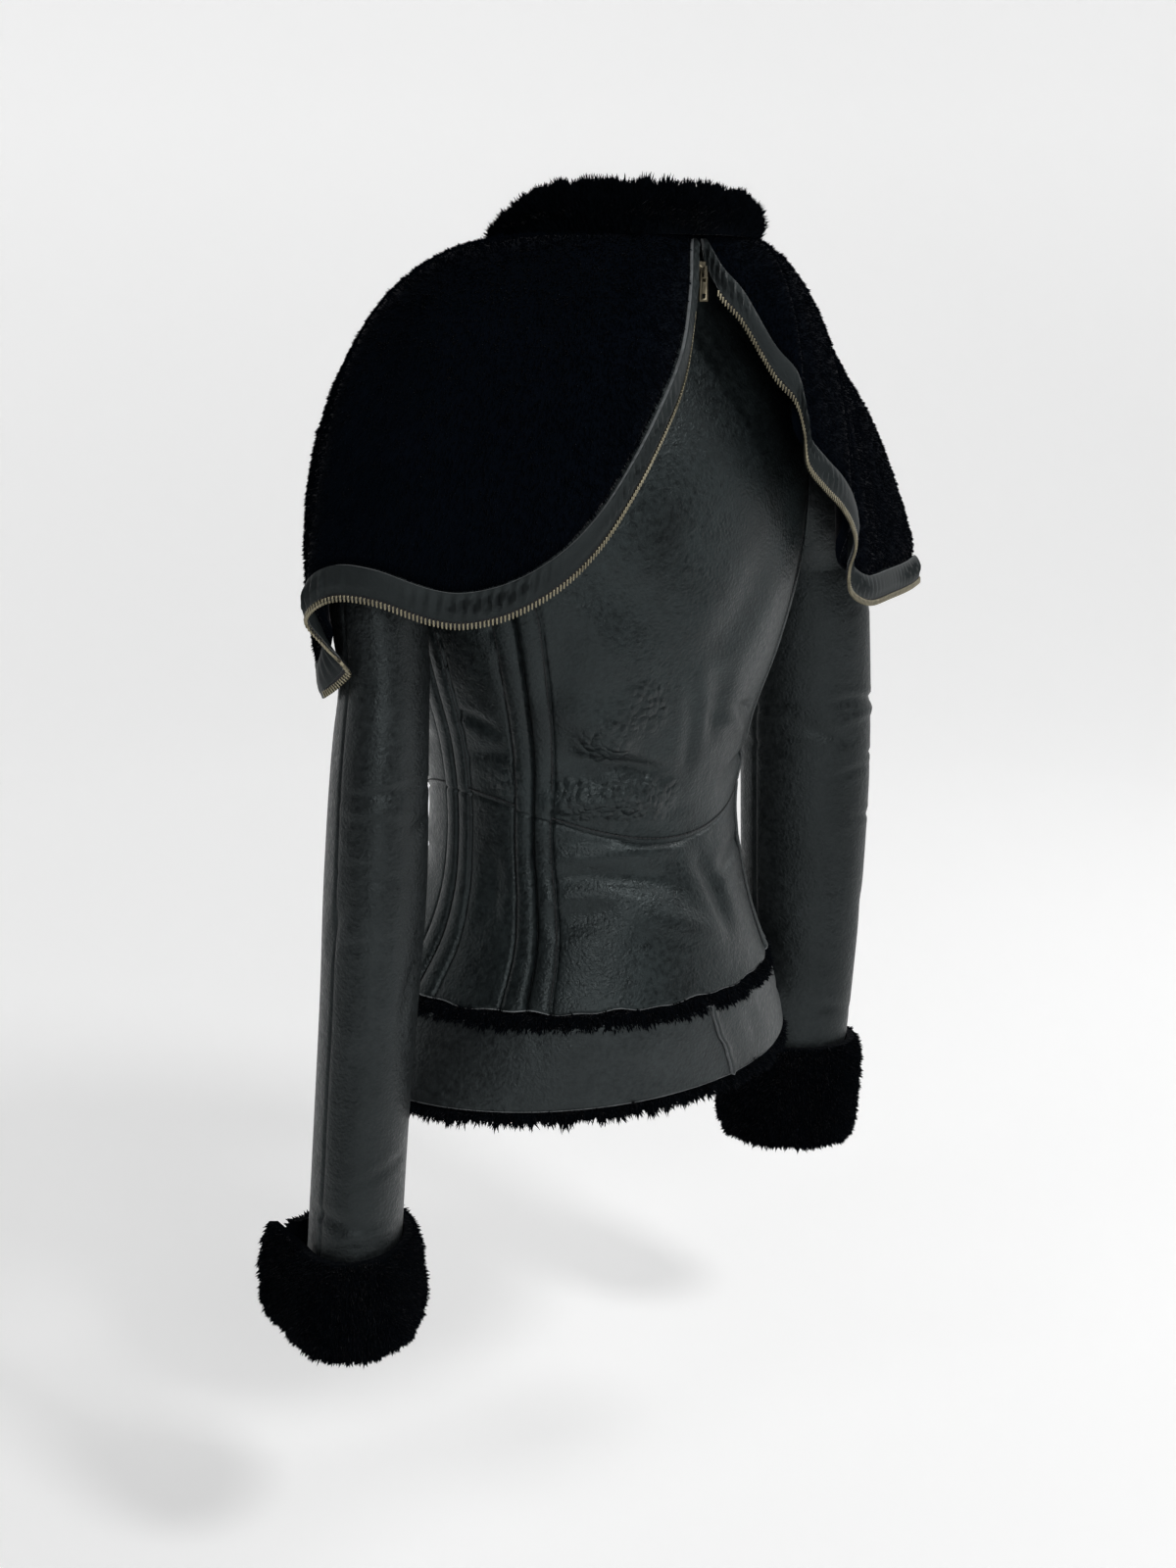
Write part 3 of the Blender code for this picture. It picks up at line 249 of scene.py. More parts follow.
HOOD_RIGHT = table(
    Rib,
    (-3, -5, 80, -8, 1, 6, 6, 0, 0), (8, 2, 89, -29, 5, 6, 12, 1, 0), (19, 14, 98, -46, 10, 4, 22, 3, 0),
    (26, 34, 108, -80, 18, 2, 34, 5, 0), (33, 48, 115, -97, 26, 1, 46, 5, 0),
    (39, 53, 119, -117, 32, 0, 58, 4, 0), (45, 58, 119, -139, 34, 2, 70, 3, 0),
    (51, 78, 116, -155, 40, 2, 86, 4, 0), (57, 100, 112, -169, 46, 2, 98, 4, 0),
    (63, 119, 106, -184, 52, 5, 106, 3, 0), (68, 133, 98, -200, 56, 5, 116, 2, 0),
    (73, 138, 88, -219, 60, 5, 124, 3, 0), (78, 150, 80, -237, 66, 5, 134, 4, 0),
    (83, 184, 68, -249, 72, 4, 142, -2, 0), (88, 226, 53, -249, 80, 3, 146, -10, 0),
    (93, 272, 34, -248, 86, 2, 138, -24, 0), (98, 308, 12, -247, 90, 0, 130, -34, 0),
    (103, 308, -14, -256, 92, -2, 140, -32, 0), (108, 288, -36, -270, 92, -4, 152, -18, 0),
    (115, 268, -60, -284, 86, -8, 162, 4, 0), (122, 228, -84, -256, 70, -4, 140, 8, 0),
    (129, 186, -106, -210, 52, 2, 106, 8, 0), (137, 144, -112, -158, 42, 4, 74, 8, 0),
    (145, 106, -118, -106, 30, 6, 44, 6, 0), (152, 68, -108, -56, 18, 6, 20, 3, 0),
)

# Where the zipped edge of the left half is tucked in behind its own fold.
Tuck = namedtuple("Tuck", "rib x y")
TUCKS_LEFT = (Tuck(14, 0, 0), Tuck(15, -4, 7), Tuck(16, -9, 17), Tuck(17, 0, 0))
TUCKS_RIGHT = (Tuck(0, 0, 0),)
TUCK_REACH = 32.0        # how far up from the edge a tuck is felt

# A cuff's top and bottom, and where the sleeve ends inside it.
Cuff = namedtuple("Cuff", "top_z bottom_z sleeve_end_z")
CUFF_LEFT = Cuff(-650, -720, -694)
CUFF_RIGHT = Cuff(-622, -706, -680)

# How the fur cuffs and collar round off: share of the way from the collar's
# root, or up from the cuff's lower edge, and how far the outside swells there.
Roll = namedtuple("Roll", "share swell")
CUFF_PROFILE = table(
    Roll,
    (0.0, -3.0), (0.15, 1.5), (0.4, 3.0), (0.7, 2.0), (0.9, 0.0), (1.0, -3.0),
)
COLLAR_PROFILE = table(
    Roll,
    (0.0, 2.0), (0.25, 4.5), (0.5, 4.5), (0.75, 1.0), (0.92, -3.0), (1.0, -7.0),
)

ZIP_FIRST_RIB = 0.9          # the zip starts here, just clear of the slider
ZIP_LAST_RIB_LEFT = 17.0     # and stops here, short of the front corner
ZIP_LAST_RIB_RIGHT = 18.0
NECK_RING = Section(0, 84, 78, 0)     # line where the hood joins the collar

# A soft crease: where its middle is, its half length and half width, how it
# is turned from level, and how far it stands out (or in, if negative).
Crease = namedtuple("Crease", "turn z half_length half_width tilt depth")
BODY_CREASES = table(
    Crease,
    (26, -337, 38, 7, 14, -3.2), (40, -347, 22, 9, 6, -1.8), (33, -309, 26, 17, 40, 2.6),
    (29, -363, 40, 9, 6, 2.2), (12, -374, 34, 4, -4, -1.0), (1, -316, 30, 6, 84, -1.6),
    (-8, -298, 26, 9, 80, -2.2), (-27, -309, 15, 3, 12, -2.4), (-24, -322, 22, 6, 25, 1.6),
    (18, -246, 60, 20, 60, -2.0), (-12, -232, 46, 16, 118, -1.6), (44, -262, 30, 12, 100, -1.4),
    (74, -306, 16, 4, 20, -1.8), (72, -330, 18, 5, -14, -1.4), (-70, -316, 18, 5, 16, -1.8),
    (-40, -352, 30, 6, -12, -1.8), (20, -401, 52, 5, 2, 1.6), (26, -418, 46, 7, 6, -2.8),
    (40, -444, 26, 11, -14, -1.8), (8, -452, 40, 10, 20, 1.6), (-14, -440, 28, 8, 70, -2.2),
    (-32, -420, 30, 6, -10, -2.0), (70, -430, 24, 8, 96, -1.4), (-72, -440, 24, 8, 84, -1.6),
    (118, -330, 30, 6, -18, -2.2), (140, -352, 36, 6, 10, -2.0), (128, -420, 34, 7, -8, -2.2),
    (156, -440, 28, 9, 70, -1.6), (132, -250, 44, 14, 62, -2.0), (-122, -340, 32, 6, 16, -2.2),
    (-146, -318, 30, 7, -12, -1.8), (-134, -424, 34, 7, 6, -2.2), (-150, -246, 44, 14, 118, -2.0),
)
BAND_CREASES = table(
    Crease,
    (58, -524, 34, 2.2, 2, -0.9), (48, -529, 40, 2.6, 4, 0.8), (34, -533, 30, 2.2, -3, -0.7),
    (66, -540, 26, 5, 12, -1.1), (20, -552, 34, 8, 24, -1.0), (-20, -545, 20, 6, 70, -1.2),
    (-60, -548, 34, 6, 10, -1.2), (120, -545, 40, 6, 8, -1.2), (-130, -540, 40, 6, -8, -1.2),
)
# On a sleeve the turn is counted round its own axis, from +X towards +Y.
SLEEVE_CREASES = table(
    Crease,
    (64, -334, 26, 3.2, 4, -2.4), (58, -346, 24, 4, -8, 1.5), (40, -382, 16, 2.4, 16, -1.3),
    (78, -392, 18, 3, -14, -1.4), (50, -432, 20, 3, 10, -1.3), (20, -420, 24, 5, 70, -1.6),
    (110, -360, 24, 5, 20, -2.0), (96, -470, 30, 6, 74, -1.4), (40, -530, 34, 7, 82, -1.3),
    (84, -590, 24, 4, 12, -1.5), (30, -622, 22, 4, -10, -1.8), (60, -634, 24, 4, 6, 1.4),
    (180, -340, 24, 4, -10, -2.2), (200, -372, 24, 4, 12, -2.0), (250, -350, 24, 5, 14, -2.0),
    (300, -420, 30, 6, 80, -1.6), (250, -600, 24, 5, -12, -1.8), (330, -290, 30, 7, 70, -1.4),
)
# On the hood the turn stands for the rib, and z for the height up from its
# free edge; folds run along the ribs.
HOOD_FOLDS_LEFT = table(
    Crease,
    (12.6, 110, 90, 14, 90, 2.6), (11.2, 120, 70, 13, 90, -2.4), (9.0, 60, 50, 22, 90, 1.6),
    (5.0, 130, 60, 25, 90, -1.4), (18.5, 120, 70, 14, 90, 2.2), (20.5, 110, 70, 14, 90, -2.2),
)
HOOD_FOLDS_RIGHT = table(
    Crease,
    (9.5, 70, 60, 12, 90, -2.2), (10.6, 80, 70, 10, 90, 3.0), (11.7, 70, 70, 10, 90, -3.2),
    (12.8, 80, 80, 10, 90, 3.4), (14.0, 80, 80, 10, 90, -3.0), (15.2, 90, 80, 10, 90, 2.8),
    (6.5, 90, 50, 16, 90, 2.0), (19.5, 110, 70, 16, 90, -2.4),
)
# Places where the skin is crushed into a net of fine wrinkles, in mm.
Crush = namedtuple("Crush", "x y z radius")
CRUSHES = table(
    Crush,
    (78, 37, -363, 26), (52, 51, -365, 28), (24, 61, -363, 24), (69, 56, -320, 26), (46, 71, -298, 26),
    (110, 5, -348, 18),
)


# ------------------------------------------------------------------ materials
def linear(code):
    """Linear colour of an sRGB hex code."""
    parts = [int(code[i:i + 2], 16) / 255 for i in (1, 3, 5)]
    return tuple(c / 12.92 if c <= 0.04045 else ((c + 0.055) / 1.055) ** 2.4 for c in parts) + (1.0,)


def wire(tree, owner, inputs):
    """Links each input to the socket given for it, or sets its value."""
    for key, value in inputs.items():
        socket = owner.inputs[key]
        if isinstance(value, bpy.types.NodeSocket):
            tree.links.new(value, socket)
        else:
            socket.default_value = value


def node(tree, kind, inputs=None, **settings):
    """Adds a node with its settings, and sets or links its inputs."""
    made = tree.nodes.new(kind)
    for key, value in settings.items():
        setattr(made, key, value)
    wire(tree, made, inputs or {})
    return made


def new_material(name):
    """A material with its tree, its shader and the place on the piece."""
    made = bpy.data.materials.new(name)
    made.use_nodes = True
    tree = made.node_tree
    place = node(tree, "ShaderNodeTexCoord").outputs["Object"]
    return made, tree, tree.nodes["Principled BSDF"], place


def per_mm(size):
    """Texture scale for a pattern whose cells are this many millimetres."""
    return 1.0 / (size * MM)


def noise(tree, place, size, detail):
    """Outputs of a soft noise, in blotches of size millimetres."""
    inputs = {"Vector": place, "Scale": per_mm(size), "Detail": detail}
    return node(tree, "ShaderNodeTexNoise", inputs).outputs


def maths(tree, operation, first, second):
    return node(tree, "ShaderNodeMath", {0: first, 1: second}, operation=operation).outputs[0]


def vectors(tree, operation, first, second):
    """Two vectors together, or with SCALE a vector and a number."""
    key = "Scale" if operation == "SCALE" else 1
    return node(tree, "ShaderNodeVectorMath", {0: first, key: second}, operation=operation).outputs[0]


def ranged(tree, value, low, high, to_low=0.0, to_high=1.0, **settings):
    """A value moved from one range into another."""
    inputs = {"Value": value, "From Min": low, "From Max": high, "To Min": to_low, "To Max": to_high}
    return node(tree, "ShaderNodeMapRange", inputs, **settings).outputs["Result"]


def bump(tree, height, strength, depth, under=None):
    """Relief of depth millimetres, over another one if that is given."""
    inputs = {"Height": height, "Strength": strength, "Distance": depth * MM}
    if under is not None:
        inputs["Normal"] = under
    return node(tree, "ShaderNodeBump", inputs).outputs["Normal"]


def mixed(tree, share, low, high):
    """A colour between two hex codes."""
    ramp = node(tree, "ShaderNodeValToRGB", {"Fac": share})
    ramp.color_ramp.elements[0].color = linear(low)
    ramp.color_ramp.elements[1].color = linear(high)
    return ramp.outputs["Color"]


def crushed_share(tree, place, crushes):
    """1 in the middle of each crushed place, fading to 0 around it."""
    total = None
    for crush in crushes:
        spot = [value * MM for value in crush[:3]]
        away = node(tree, "ShaderNodeVectorMath", {0: place, 1: spot}, operation="DISTANCE")
        share = ranged(tree, away.outputs["Value"], crush.radius * MM, crush.radius * CRUSH_CORE * MM,
                       interpolation_type="SMOOTHSTEP")
        total = share if total is None else maths(tree, "MAXIMUM", total, share)
    return total


def leather(name, dark, light, roughness, crushes=()):
    """Finished shearling skin: a tight pebbled grain with a soft, waxy sheen.

    Its grain is about 2 mm. Where the skin is crushed, cells of 6.5 mm pucker up.
    """
    made, tree, shader, place = new_material(name)
    rubbed = noise(tree, place, 4, 3.0)["Fac"]
    bent = noise(tree, place, 13, 1.0)
    shade = maths(tree, "MULTIPLY", noise(tree, place, 60, 3.0)["Fac"], rubbed)
    pebble = bump(tree, noise(tree, place, 2.2, 2.0)["Fac"], 0.7, 0.9)
    surface = bump(tree, bent["Fac"], 0.4, 1.8, pebble)
    if crushes:
        warped = vectors(tree, "ADD", place, vectors(tree, "SCALE", bent["Color"], 8 * MM))
        puffs = node(tree, "ShaderNodeTexVoronoi", {"Vector": warped, "Scale": per_mm(6.5)}, feature="F1")
        domes = ranged(tree, puffs.outputs["Distance"], 0.0, 1.0, 1.0, 0.0)
        crushed = maths(tree, "MULTIPLY", domes, crushed_share(tree, place, crushes))
        surface = bump(tree, crushed, 1.0, 2.4, surface)
    wire(tree, shader, {
        "Base Color": mixed(tree, ranged(tree, shade, 0.12, 0.4), dark, light),
        "Roughness": ranged(tree, rubbed, 0.3, 0.7, roughness - 0.09, roughness + 0.09),
        "Normal": surface, "Specular IOR Level": 0.36, "Specular Tint": linear("#e4f3f5")})
    return made


def pile(name, dark, light, sheen, patch, relief):
    """Dyed sheepskin pile: it swallows light, and only its tips catch a rim."""
    made, tree, shader, place = new_material(name)
    wire(tree, shader, {
        "Base Color": mixed(tree, noise(tree, place, patch, 5.0)["Fac"], dark, light),
        "Normal": bump(tree, noise(tree, place, 3.0, 3.0)["Fac"], relief, 1.5),
        "Roughness": 0.9, "Specular IOR Level": 0.03,
        "Sheen Weight": sheen, "Sheen Roughness": 0.28, "Sheen Tint": linear("#8d8a8c")})
    return made


def binding_leather():
    """Soft matt nappa strip, pulled into puckers by its stitches."""
    made, tree, shader, place = new_material("binding_nappa")
    wire(tree, shader, {
        "Base Color": mixed(tree, noise(tree, place, 11, 5.0)["Fac"], "#0d0f10", "#1f2324"),
        "Normal": bump(tree, noise(tree, place, 1.4, 3.0)["Fac"], 0.5, 0.4),
        "Roughness": 0.6, "Specular IOR Level": 0.3, "Specular Tint": linear("#e4f3f5")})
    return made


def raw_edge():
    """The cut edge of the skin, paler than its dyed face."""
    made, tree, shader, place = new_material("cut_skin_edge")
    wire(tree, shader, {
        "Base Color": mixed(tree, noise(tree, place, 3, 4.0)["Fac"], "#4c5052", "#8b8f91"),
        "Roughness": 0.85})
    return made


def antique_brass(name, dark, light, roughness):
    """Cast zip brass with a dark patina, lighter and darker at random in blotches of about 6 mm."""
    made, tree, shader, place = new_material(name)
    patina = noise(tree, place, 6, 4.0)["Fac"]
    wire(tree, shader, {
        "Base Color": mixed(tree, patina, dark, light),
        "Roughness": ranged(tree, patina, 0.0, 1.0, roughness - 0.08, roughness + 0.12),
        "Metallic": 1.0})
    return made


def woven(name, dark, light):
    """Tightly woven polyester: zip tape and sewing thread."""
    made, tree, shader, place = new_material(name)
    threads = noise(tree, place, 1.0, 2.0)["Fac"]
    wire(tree, shader, {
        "Base Color": mixed(tree, threads, dark, light), "Normal": bump(tree, threads, 0.4, 0.3),
        "Roughness": 0.8})
    return made


BODY_LEATHER = leather("slate_shearling_skin", "#0d1011", "#1f2526", 0.40, CRUSHES)
BAND_LEATHER = leather("band_shearling_skin", "#17191a", "#2b2f30", 0.44)
SLEEVE_LEATHER = leather("sleeve_shearling_skin", "#0e1011", "#1f2223", 0.44)
HOOD_PILE = pile("hood_pile", "#010408", "#040810", 0.36, 45, 0.25)
HOOD_TIPS = pile("hood_pile_tips", "#010408", "#040810", 0.10, 45, 0.25)
COMBED_PILE = pile("combed_pile", "#020508", "#070a0f", 0.20, 14, 0.8)
LINING_PILE = pile("lining_pile", "#030304", "#060607", 0.02, 20, 0.8)
BINDING_SKIN = binding_leather()
CUT_EDGE = raw_edge()
ZIP_BRASS = antique_brass("zip_antique_brass", "#645e4e", "#aca58d", 0.32)
SLIDER_BRASS = antique_brass("slider_antique_brass", "#4a463c", "#857d69", 0.42)
ZIP_TAPE = woven("zip_tape_polyester", "#17181b", "#2a2b2e")
THREAD = woven("sewing_thread", "#141517", "#222325")


# -------------------------------------------------------------------- helpers
def ease(t):
    """A smooth step from 0 to 1."""
    t = np.clip(t, 0.0, 1.0)
    return t * t * (3.0 - 2.0 * t)


def column(rows, name):
    return np.array([getattr(row, name) for row in rows], float)


def smooth_through(keys, values, at):
    """Cubic through the table's values; keys run upwards, ends are held."""
    at = np.clip(at, keys[0], keys[-1])
    i = np.clip(np.searchsorted(keys, at, side="right") - 1, 0, len(keys) - 2)
    spans = np.diff(keys)
    slopes = np.diff(values) / spans
    inner = (slopes[:-1] * spans[1:] + slopes[1:] * spans[:-1]) / (spans[:-1] + spans[1:])
    tangents = np.concatenate((slopes[:1], inner, slopes[-1:]))
    t = (at - keys[i]) / spans[i]
    return (
        (2 * t**3 - 3 * t**2 + 1) * values[i]
        + (t**3 - 2 * t**2 + t) * spans[i] * tangents[i]
        + (3 * t**2 - 2 * t**3) * values[i + 1]
        + (t**3 - t**2) * spans[i] * tangents[i + 1]
    )


def stops(length, edge=SEAM_STOPS, pitch=4.8):
    """Shares 0 to 1 along a length, with given stops in mm near both ends."""
    start = np.array(edge)
    count = max(2, round((length - 2 * start[-1]) / pitch))
    middle = np.linspace(start[-1], length - start[-1], count)[1:-1]
    return np.concatenate((start, middle, length - start[::-1])) / length


def creased(creases, turn, z, turn_mm, relief=CREASE_RELIEF):
    """Height of a table of creases at turn and z; turn_mm is one unit of turn.

    relief scales the depths of the whole table.
    """
    total = np.zeros(np.broadcast(turn, z).shape)
    for crease in creases:
        across = (turn - crease.turn) * turn_mm
        up = z - crease.z
        tilt = math.radians(crease.tilt)
        along = across * math.cos(tilt) + up * math.sin(tilt)
        side = up * math.cos(tilt) - across * math.sin(tilt)
        side = side + CREASE_BOW * along**2 / crease.half_length
        crest = CREASE_CREST * np.exp(-((side / crease.half_width / 2) ** 2))
        shape = np.exp(-((side / crease.half_width) ** 2)) - crest
        total += crease.depth * relief * shape * np.exp(-((along / crease.half_length) ** 4))
    return total


def unit(arrows):
    """The same directions, each of length 1."""
    return arrows / np.linalg.norm(arrows, axis=-1, keepdims=True)


def lifted(points, out, height):
    """Points moved along their outward directions."""
    return points + out * height[..., None]


def run_along(points):
    """How far along its line each point lies."""
    return np.concatenate(([0.0], np.cumsum(np.linalg.norm(np.diff(points, axis=0), axis=1))))


def along_line(at, run, line):
    """Points, or directions, of a line at distances along it."""
    return np.stack([np.interp(at, run, line[:, axis]) for axis in range(3)], axis=-1)


def mirror(mirrored):
    return np.array((-1.0 if mirrored else 1.0, 1.0, 1.0))


def put_in(name, data):
    """A new object with this data, linked into the scene."""
    made = bpy.data.objects.new(name, data)
    bpy.context.scene.collection.objects.link(made)
    return made


def shell(name, outer, inner, finishes, mirrored=False, raw_rows=()):
    """A closed wall between two grids: its face, its inside and its cut edge.

    raw_rows are rows of faces where the pale cut edge shows on the face.
    """
    rows, cols = outer.shape[:2]
    points = np.concatenate((outer.reshape(-1, 3), inner.reshape(-1, 3))) * (mirror(mirrored) * MM)
    half = rows * cols
    faces = []
    slots = []

    def add(face, finish):
        faces.append(face)
        slots.append(finish)

    for r in range(rows - 1):
        for c in range(cols - 1):
            a = r * cols + c
            add((a, a + 1, a + cols + 1, a + cols), 2 if r in raw_rows else 0)
            add((half + a, half + a + cols, half + a + cols + 1, half + a + 1), 1)
    for c in range(cols - 1):
        top = (rows - 1) * cols + c
        add((c, half + c, half + c + 1, c + 1), 2)
        add((top, top + 1, half + top + 1, half + top), 2)
    for r in range(rows - 1):
        a = r * cols
        end = a + cols - 1
        add((a, a + cols, half + a + cols, half + a), 2)
        add((end, half + end, half + end + cols, end + cols), 2)
    mesh = bpy.data.meshes.new(name)
    mesh.from_pydata(points.tolist(), [], faces)
    for finish in finishes:
        mesh.materials.append(finish)
    mesh.polygons.foreach_set("material_index", slots)
    bm = bmesh.new()
    bm.from_mesh(mesh)
    bmesh.ops.recalc_face_normals(bm, faces=bm.faces[:])
    bm.to_mesh(mesh)
    bm.free()
    mesh.shade_smooth()
    mesh.set_sharp_from_angle(angle=math.radians(60))
    return put_in(name, mesh)


def dress(piece, node_name, body="coat"):
    """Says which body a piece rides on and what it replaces."""
    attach(piece, body)
    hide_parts(node_name)


def cloth(name, node_name, outer, inner, finishes, mirrored=False, raw_rows=()):
    """A shell that rides on the coat in place of its solid."""
    piece = shell(name, outer, inner, finishes, mirrored, raw_rows)
    dress(piece, node_name)


# ------------------------------------------------------------ repeated things
def set_modifier(owner, tree, values):
    """Adds the tree to the owner, with values for its inputs."""
    modifier = owner.modifiers.new(tree.name, "NODES")
    modifier.node_group = tree
    for item in tree.interface.items_tree:
        if item.in_out == "INPUT" and item.name in values:
            modifier[item.identifier] = values[item.name]


def made_plain(owner, name):
    """The evaluated result as a plain mesh piece; the owner is taken away."""
    evaluated = owner.evaluated_get(bpy.context.evaluated_depsgraph_get())
    mesh = bpy.data.meshes.new_from_object(evaluated)
    mesh.name = name
    bpy.data.objects.remove(owner, do_unlink=True)
    return put_in(name, mesh)


def new_tree(name, inputs):
    """A tree with the sockets it is given, and its result node."""
    tree = bpy.data.node_groups.new(name, "GeometryNodeTree")
    for label, kind in (("Geometry", "Geometry"), *inputs):
        tree.interface.new_socket(label, in_out="INPUT", socket_type=f"NodeSocket{kind}")
    tree.interface.new_socket("Geometry", in_out="OUTPUT", socket_type="NodeSocketGeometry")
    return tree, node(tree, "NodeGroupInput").outputs, node(tree, "NodeGroupOutput")


def copies_on_points(tree, given, result, inputs):
    """Ends a tree with real copies on points, in the finish it is given."""
    placed = node(tree, "GeometryNodeInstanceOnPoints", inputs)
    real = node(tree, "GeometryNodeRealizeInstances", {"Geometry": placed.outputs[0]})
    finished = node(tree, "GeometryNodeSetMaterial", {
        "Geometry": real.outputs[0], "Material": given["Finish"]})
    tree.links.new(finished.outputs[0], result.inputs["Geometry"])
    return tree


def pile_tree():
    """Sows three-sided locks of pile over a shell's outer face."""
    tree, given, result = new_tree("locks_of_pile", (
        ("Density", "Float"), ("Length", "Float"), ("Width", "Float"), ("Comb", "Vector"),
        ("Ruffle", "Float"), ("Seed", "Int"), ("Finish", "Material")))
    face = node(tree, "GeometryNodeInputMaterialIndex").outputs[0]
    outside = node(tree, "FunctionNodeCompare", {2: face, 3: 0}, data_type="INT", operation="EQUAL")
    sown = node(tree, "GeometryNodeDistributePointsOnFaces", {
        "Mesh": given["Geometry"], "Selection": outside.outputs[0], "Density": given["Density"],
        "Seed": given["Seed"]}, distribute_method="RANDOM").outputs
    loose = node(tree, "FunctionNodeRandomValue", {
        0: (-1.0, -1.0, -1.0), 1: (1.0, 1.0, 1.0), "Seed": given["Seed"]}, data_type="FLOAT_VECTOR")
    spot = node(tree, "GeometryNodeInputPosition").outputs[0]
    drift = vectors(tree, "SUBTRACT", noise(tree, spot, 14, 2.0)["Color"], (0.5, 0.5, 0.5))
    clumped = vectors(tree, "ADD", loose.outputs[0], vectors(tree, "SCALE", drift, 3.0))
    ruffled = vectors(tree, "SCALE", clumped, given["Ruffle"])
    leaning = vectors(tree, "ADD", sown["Normal"], given["Comb"])
    heading = vectors(tree, "ADD", leaning, ruffled)
    turned = node(tree, "FunctionNodeAlignRotationToVector", {"Vector": heading}, axis="Z")
    lock = node(tree, "GeometryNodeMeshCone", {
        "Vertices": 3, "Side Segments": 1, "Radius Bottom": given["Width"], "Radius Top": 0.0,
        "Depth": given["Length"]}, fill_type="NONE")
    size = node(tree, "FunctionNodeRandomValue", {2: 0.6, 3: 1.2, "Seed": given["Seed"]},
                data_type="FLOAT")
    tufted = ranged(tree, noise(tree, spot, 6, 1.0)["Fac"], 0.3, 0.7, 0.6, 1.35)
    return copies_on_points(tree, given, result, {
        "Points": sown["Points"], "Instance": lock.outputs["Mesh"], "Rotation": turned.outputs[0],
        "Scale": maths(tree, "MULTIPLY", size.outputs[1], tufted)})


def repeat_tree():
    """Puts one small part on each point, turned by the point's own rotation."""
    tree, given, result = new_tree("set_on_points", (("Item", "Object"), ("Finish", "Material")))
    item = node(tree, "GeometryNodeObjectInfo", {"Object": given["Item"]})
    turn = node(tree, "GeometryNodeInputNamedAttribute", {"Name": "turn"}, data_type="QUATERNION")
    return copies_on_points(tree, given, result, {
        "Points": given["Geometry"], "Instance": item.outputs["Geometry"], "Rotation": turn.outputs[0]})


PILE_TREE = pile_tree()
REPEAT_TREE = repeat_tree()
ITEM_COUNT = [0]


def sow_pile(name, ground, locks, length, width, comb, ruffle, finish):
    """About this many locks of pile over a shell; lengths in millimetres."""
    area = sum(face.area for face in ground.data.polygons if face.material_index == 0)
    bed = ground.copy()
    bed.data = ground.data.copy()
    for key in list(bed.keys()):
        del bed[key]
    bpy.context.scene.collection.objects.link(bed)
    ITEM_COUNT[0] += 1
    set_modifier(bed, PILE_TREE, {
        "Density": locks / area, "Length": length * MM, "Width": width * MM, "Comb": comb,
        "Ruffle": ruffle, "Seed": ITEM_COUNT[0], "Finish": finish})
    made = made_plain(bed, name)
    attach(made, "coat")


def set_on_points(name, points, frames, item, finish):
    """Copies of one small object, item, at points in mm with 3x3 frames."""
    mesh = bpy.data.meshes.new(name)
    mesh.from_pydata([tuple(p * MM) for p in points], [], [])
    turns = mesh.attributes.new("turn", "QUATERNION", "POINT")
    values = []
    for axes in frames:
        values.extend(Matrix(np.array(axes).T.tolist()).to_quaternion())
    turns.data.foreach_set("value", values)
    holder = put_in(name, mesh)
    set_modifier(holder, REPEAT_TREE, {"Item": item, "Finish": finish})
    made = made_plain(holder, name)
    made.data.shade_smooth()
    made.data.set_sharp_from_angle(angle=math.radians(40))
    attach(made, "coat")
    return made


# ------------------------------------------------------------------ body forms
def body_point(turn, z):
    """Outside of the body at turn degrees from the centre back, towards +X."""
    keys = column(BODY, "z")
    half_width = smooth_through(keys, column(BODY, "half_width"), z)
    half_depth = smooth_through(keys, column(BODY, "half_depth"), z)
    centre_y = smooth_through(keys, column(BODY, "centre_y"), z)
    angle = np.radians(turn)
    return np.stack((half_width * np.sin(angle), centre_y + half_depth * np.cos(angle), z), axis=-1)


def outward(surface, u, v, du, dv):
    """Unit normals of surface(u, v) where u runs across and v upwards."""
    across = surface(u + du, v) - surface(u - du, v)
    along = surface(u, v + dv) - surface(u, v - dv)
    return unit(np.cross(along, across))


def body_normal(turn, z):
    return outward(body_point, turn, z, 1e-3, 1e-3)


def waist_z(turn):
    return WAIST_BACK_Z + WAIST_RISE * np.sin(np.radians(turn)) ** 2


def neck_z(turn):
    """Underside of the collar, lower towards the front."""
    return NECK_Z - NECK_DROP * np.sin(np.radians(turn) / 2) ** 2


def body_top_z(turn):
    return neck_z(turn) - FUR - SHOULDER_DROP


def armhole(step):
    """Turn and height of a point of the armhole, from the shoulder backwards."""
    angle = 2 * np.pi * step / ARMHOLE_STEPS
    return 90.0 - ARMHOLE_HALF_ANGLE * np.sin(angle), ARMHOLE_Z + ARMHOLE_HALF_HEIGHT * np.cos(angle)


def arc_turn(distance):
    """Degrees round the body for a distance in millimetres."""
    return math.degrees(distance / BODY_RADIUS)


TURN_MM = 1 / arc_turn(1.0)
GAP_TURN = arc_turn(DRAWN_GAP / 2)
PRINCESS_END_TURN, PRINCESS_END_Z = armhole(PRINCESS_STEP)
ARMHOLE_LOW_Z = ARMHOLE_Z - ARMHOLE_HALF_HEIGHT
ARMHOLE_TOP_Z = ARMHOLE_Z + ARMHOLE_HALF_HEIGHT


def welt(turn, seam):
    """Padded welts on both sides of a seam, each held by a line of stitches."""
    away = np.abs(turn - seam) / arc_turn(1.0)
    raised = WELT_RAISE * np.sin(np.pi * np.clip(away / WELT_WIDTH, 0.0, 1.0)) ** 0.65
    seam_sink = WELT_SINK * np.exp(-((away / 1.6) ** 2))
    groove = STITCH_SINK * np.exp(-(((away - WELT_WIDTH) / 1.1) ** 2))
    return raised - seam_sink - groove


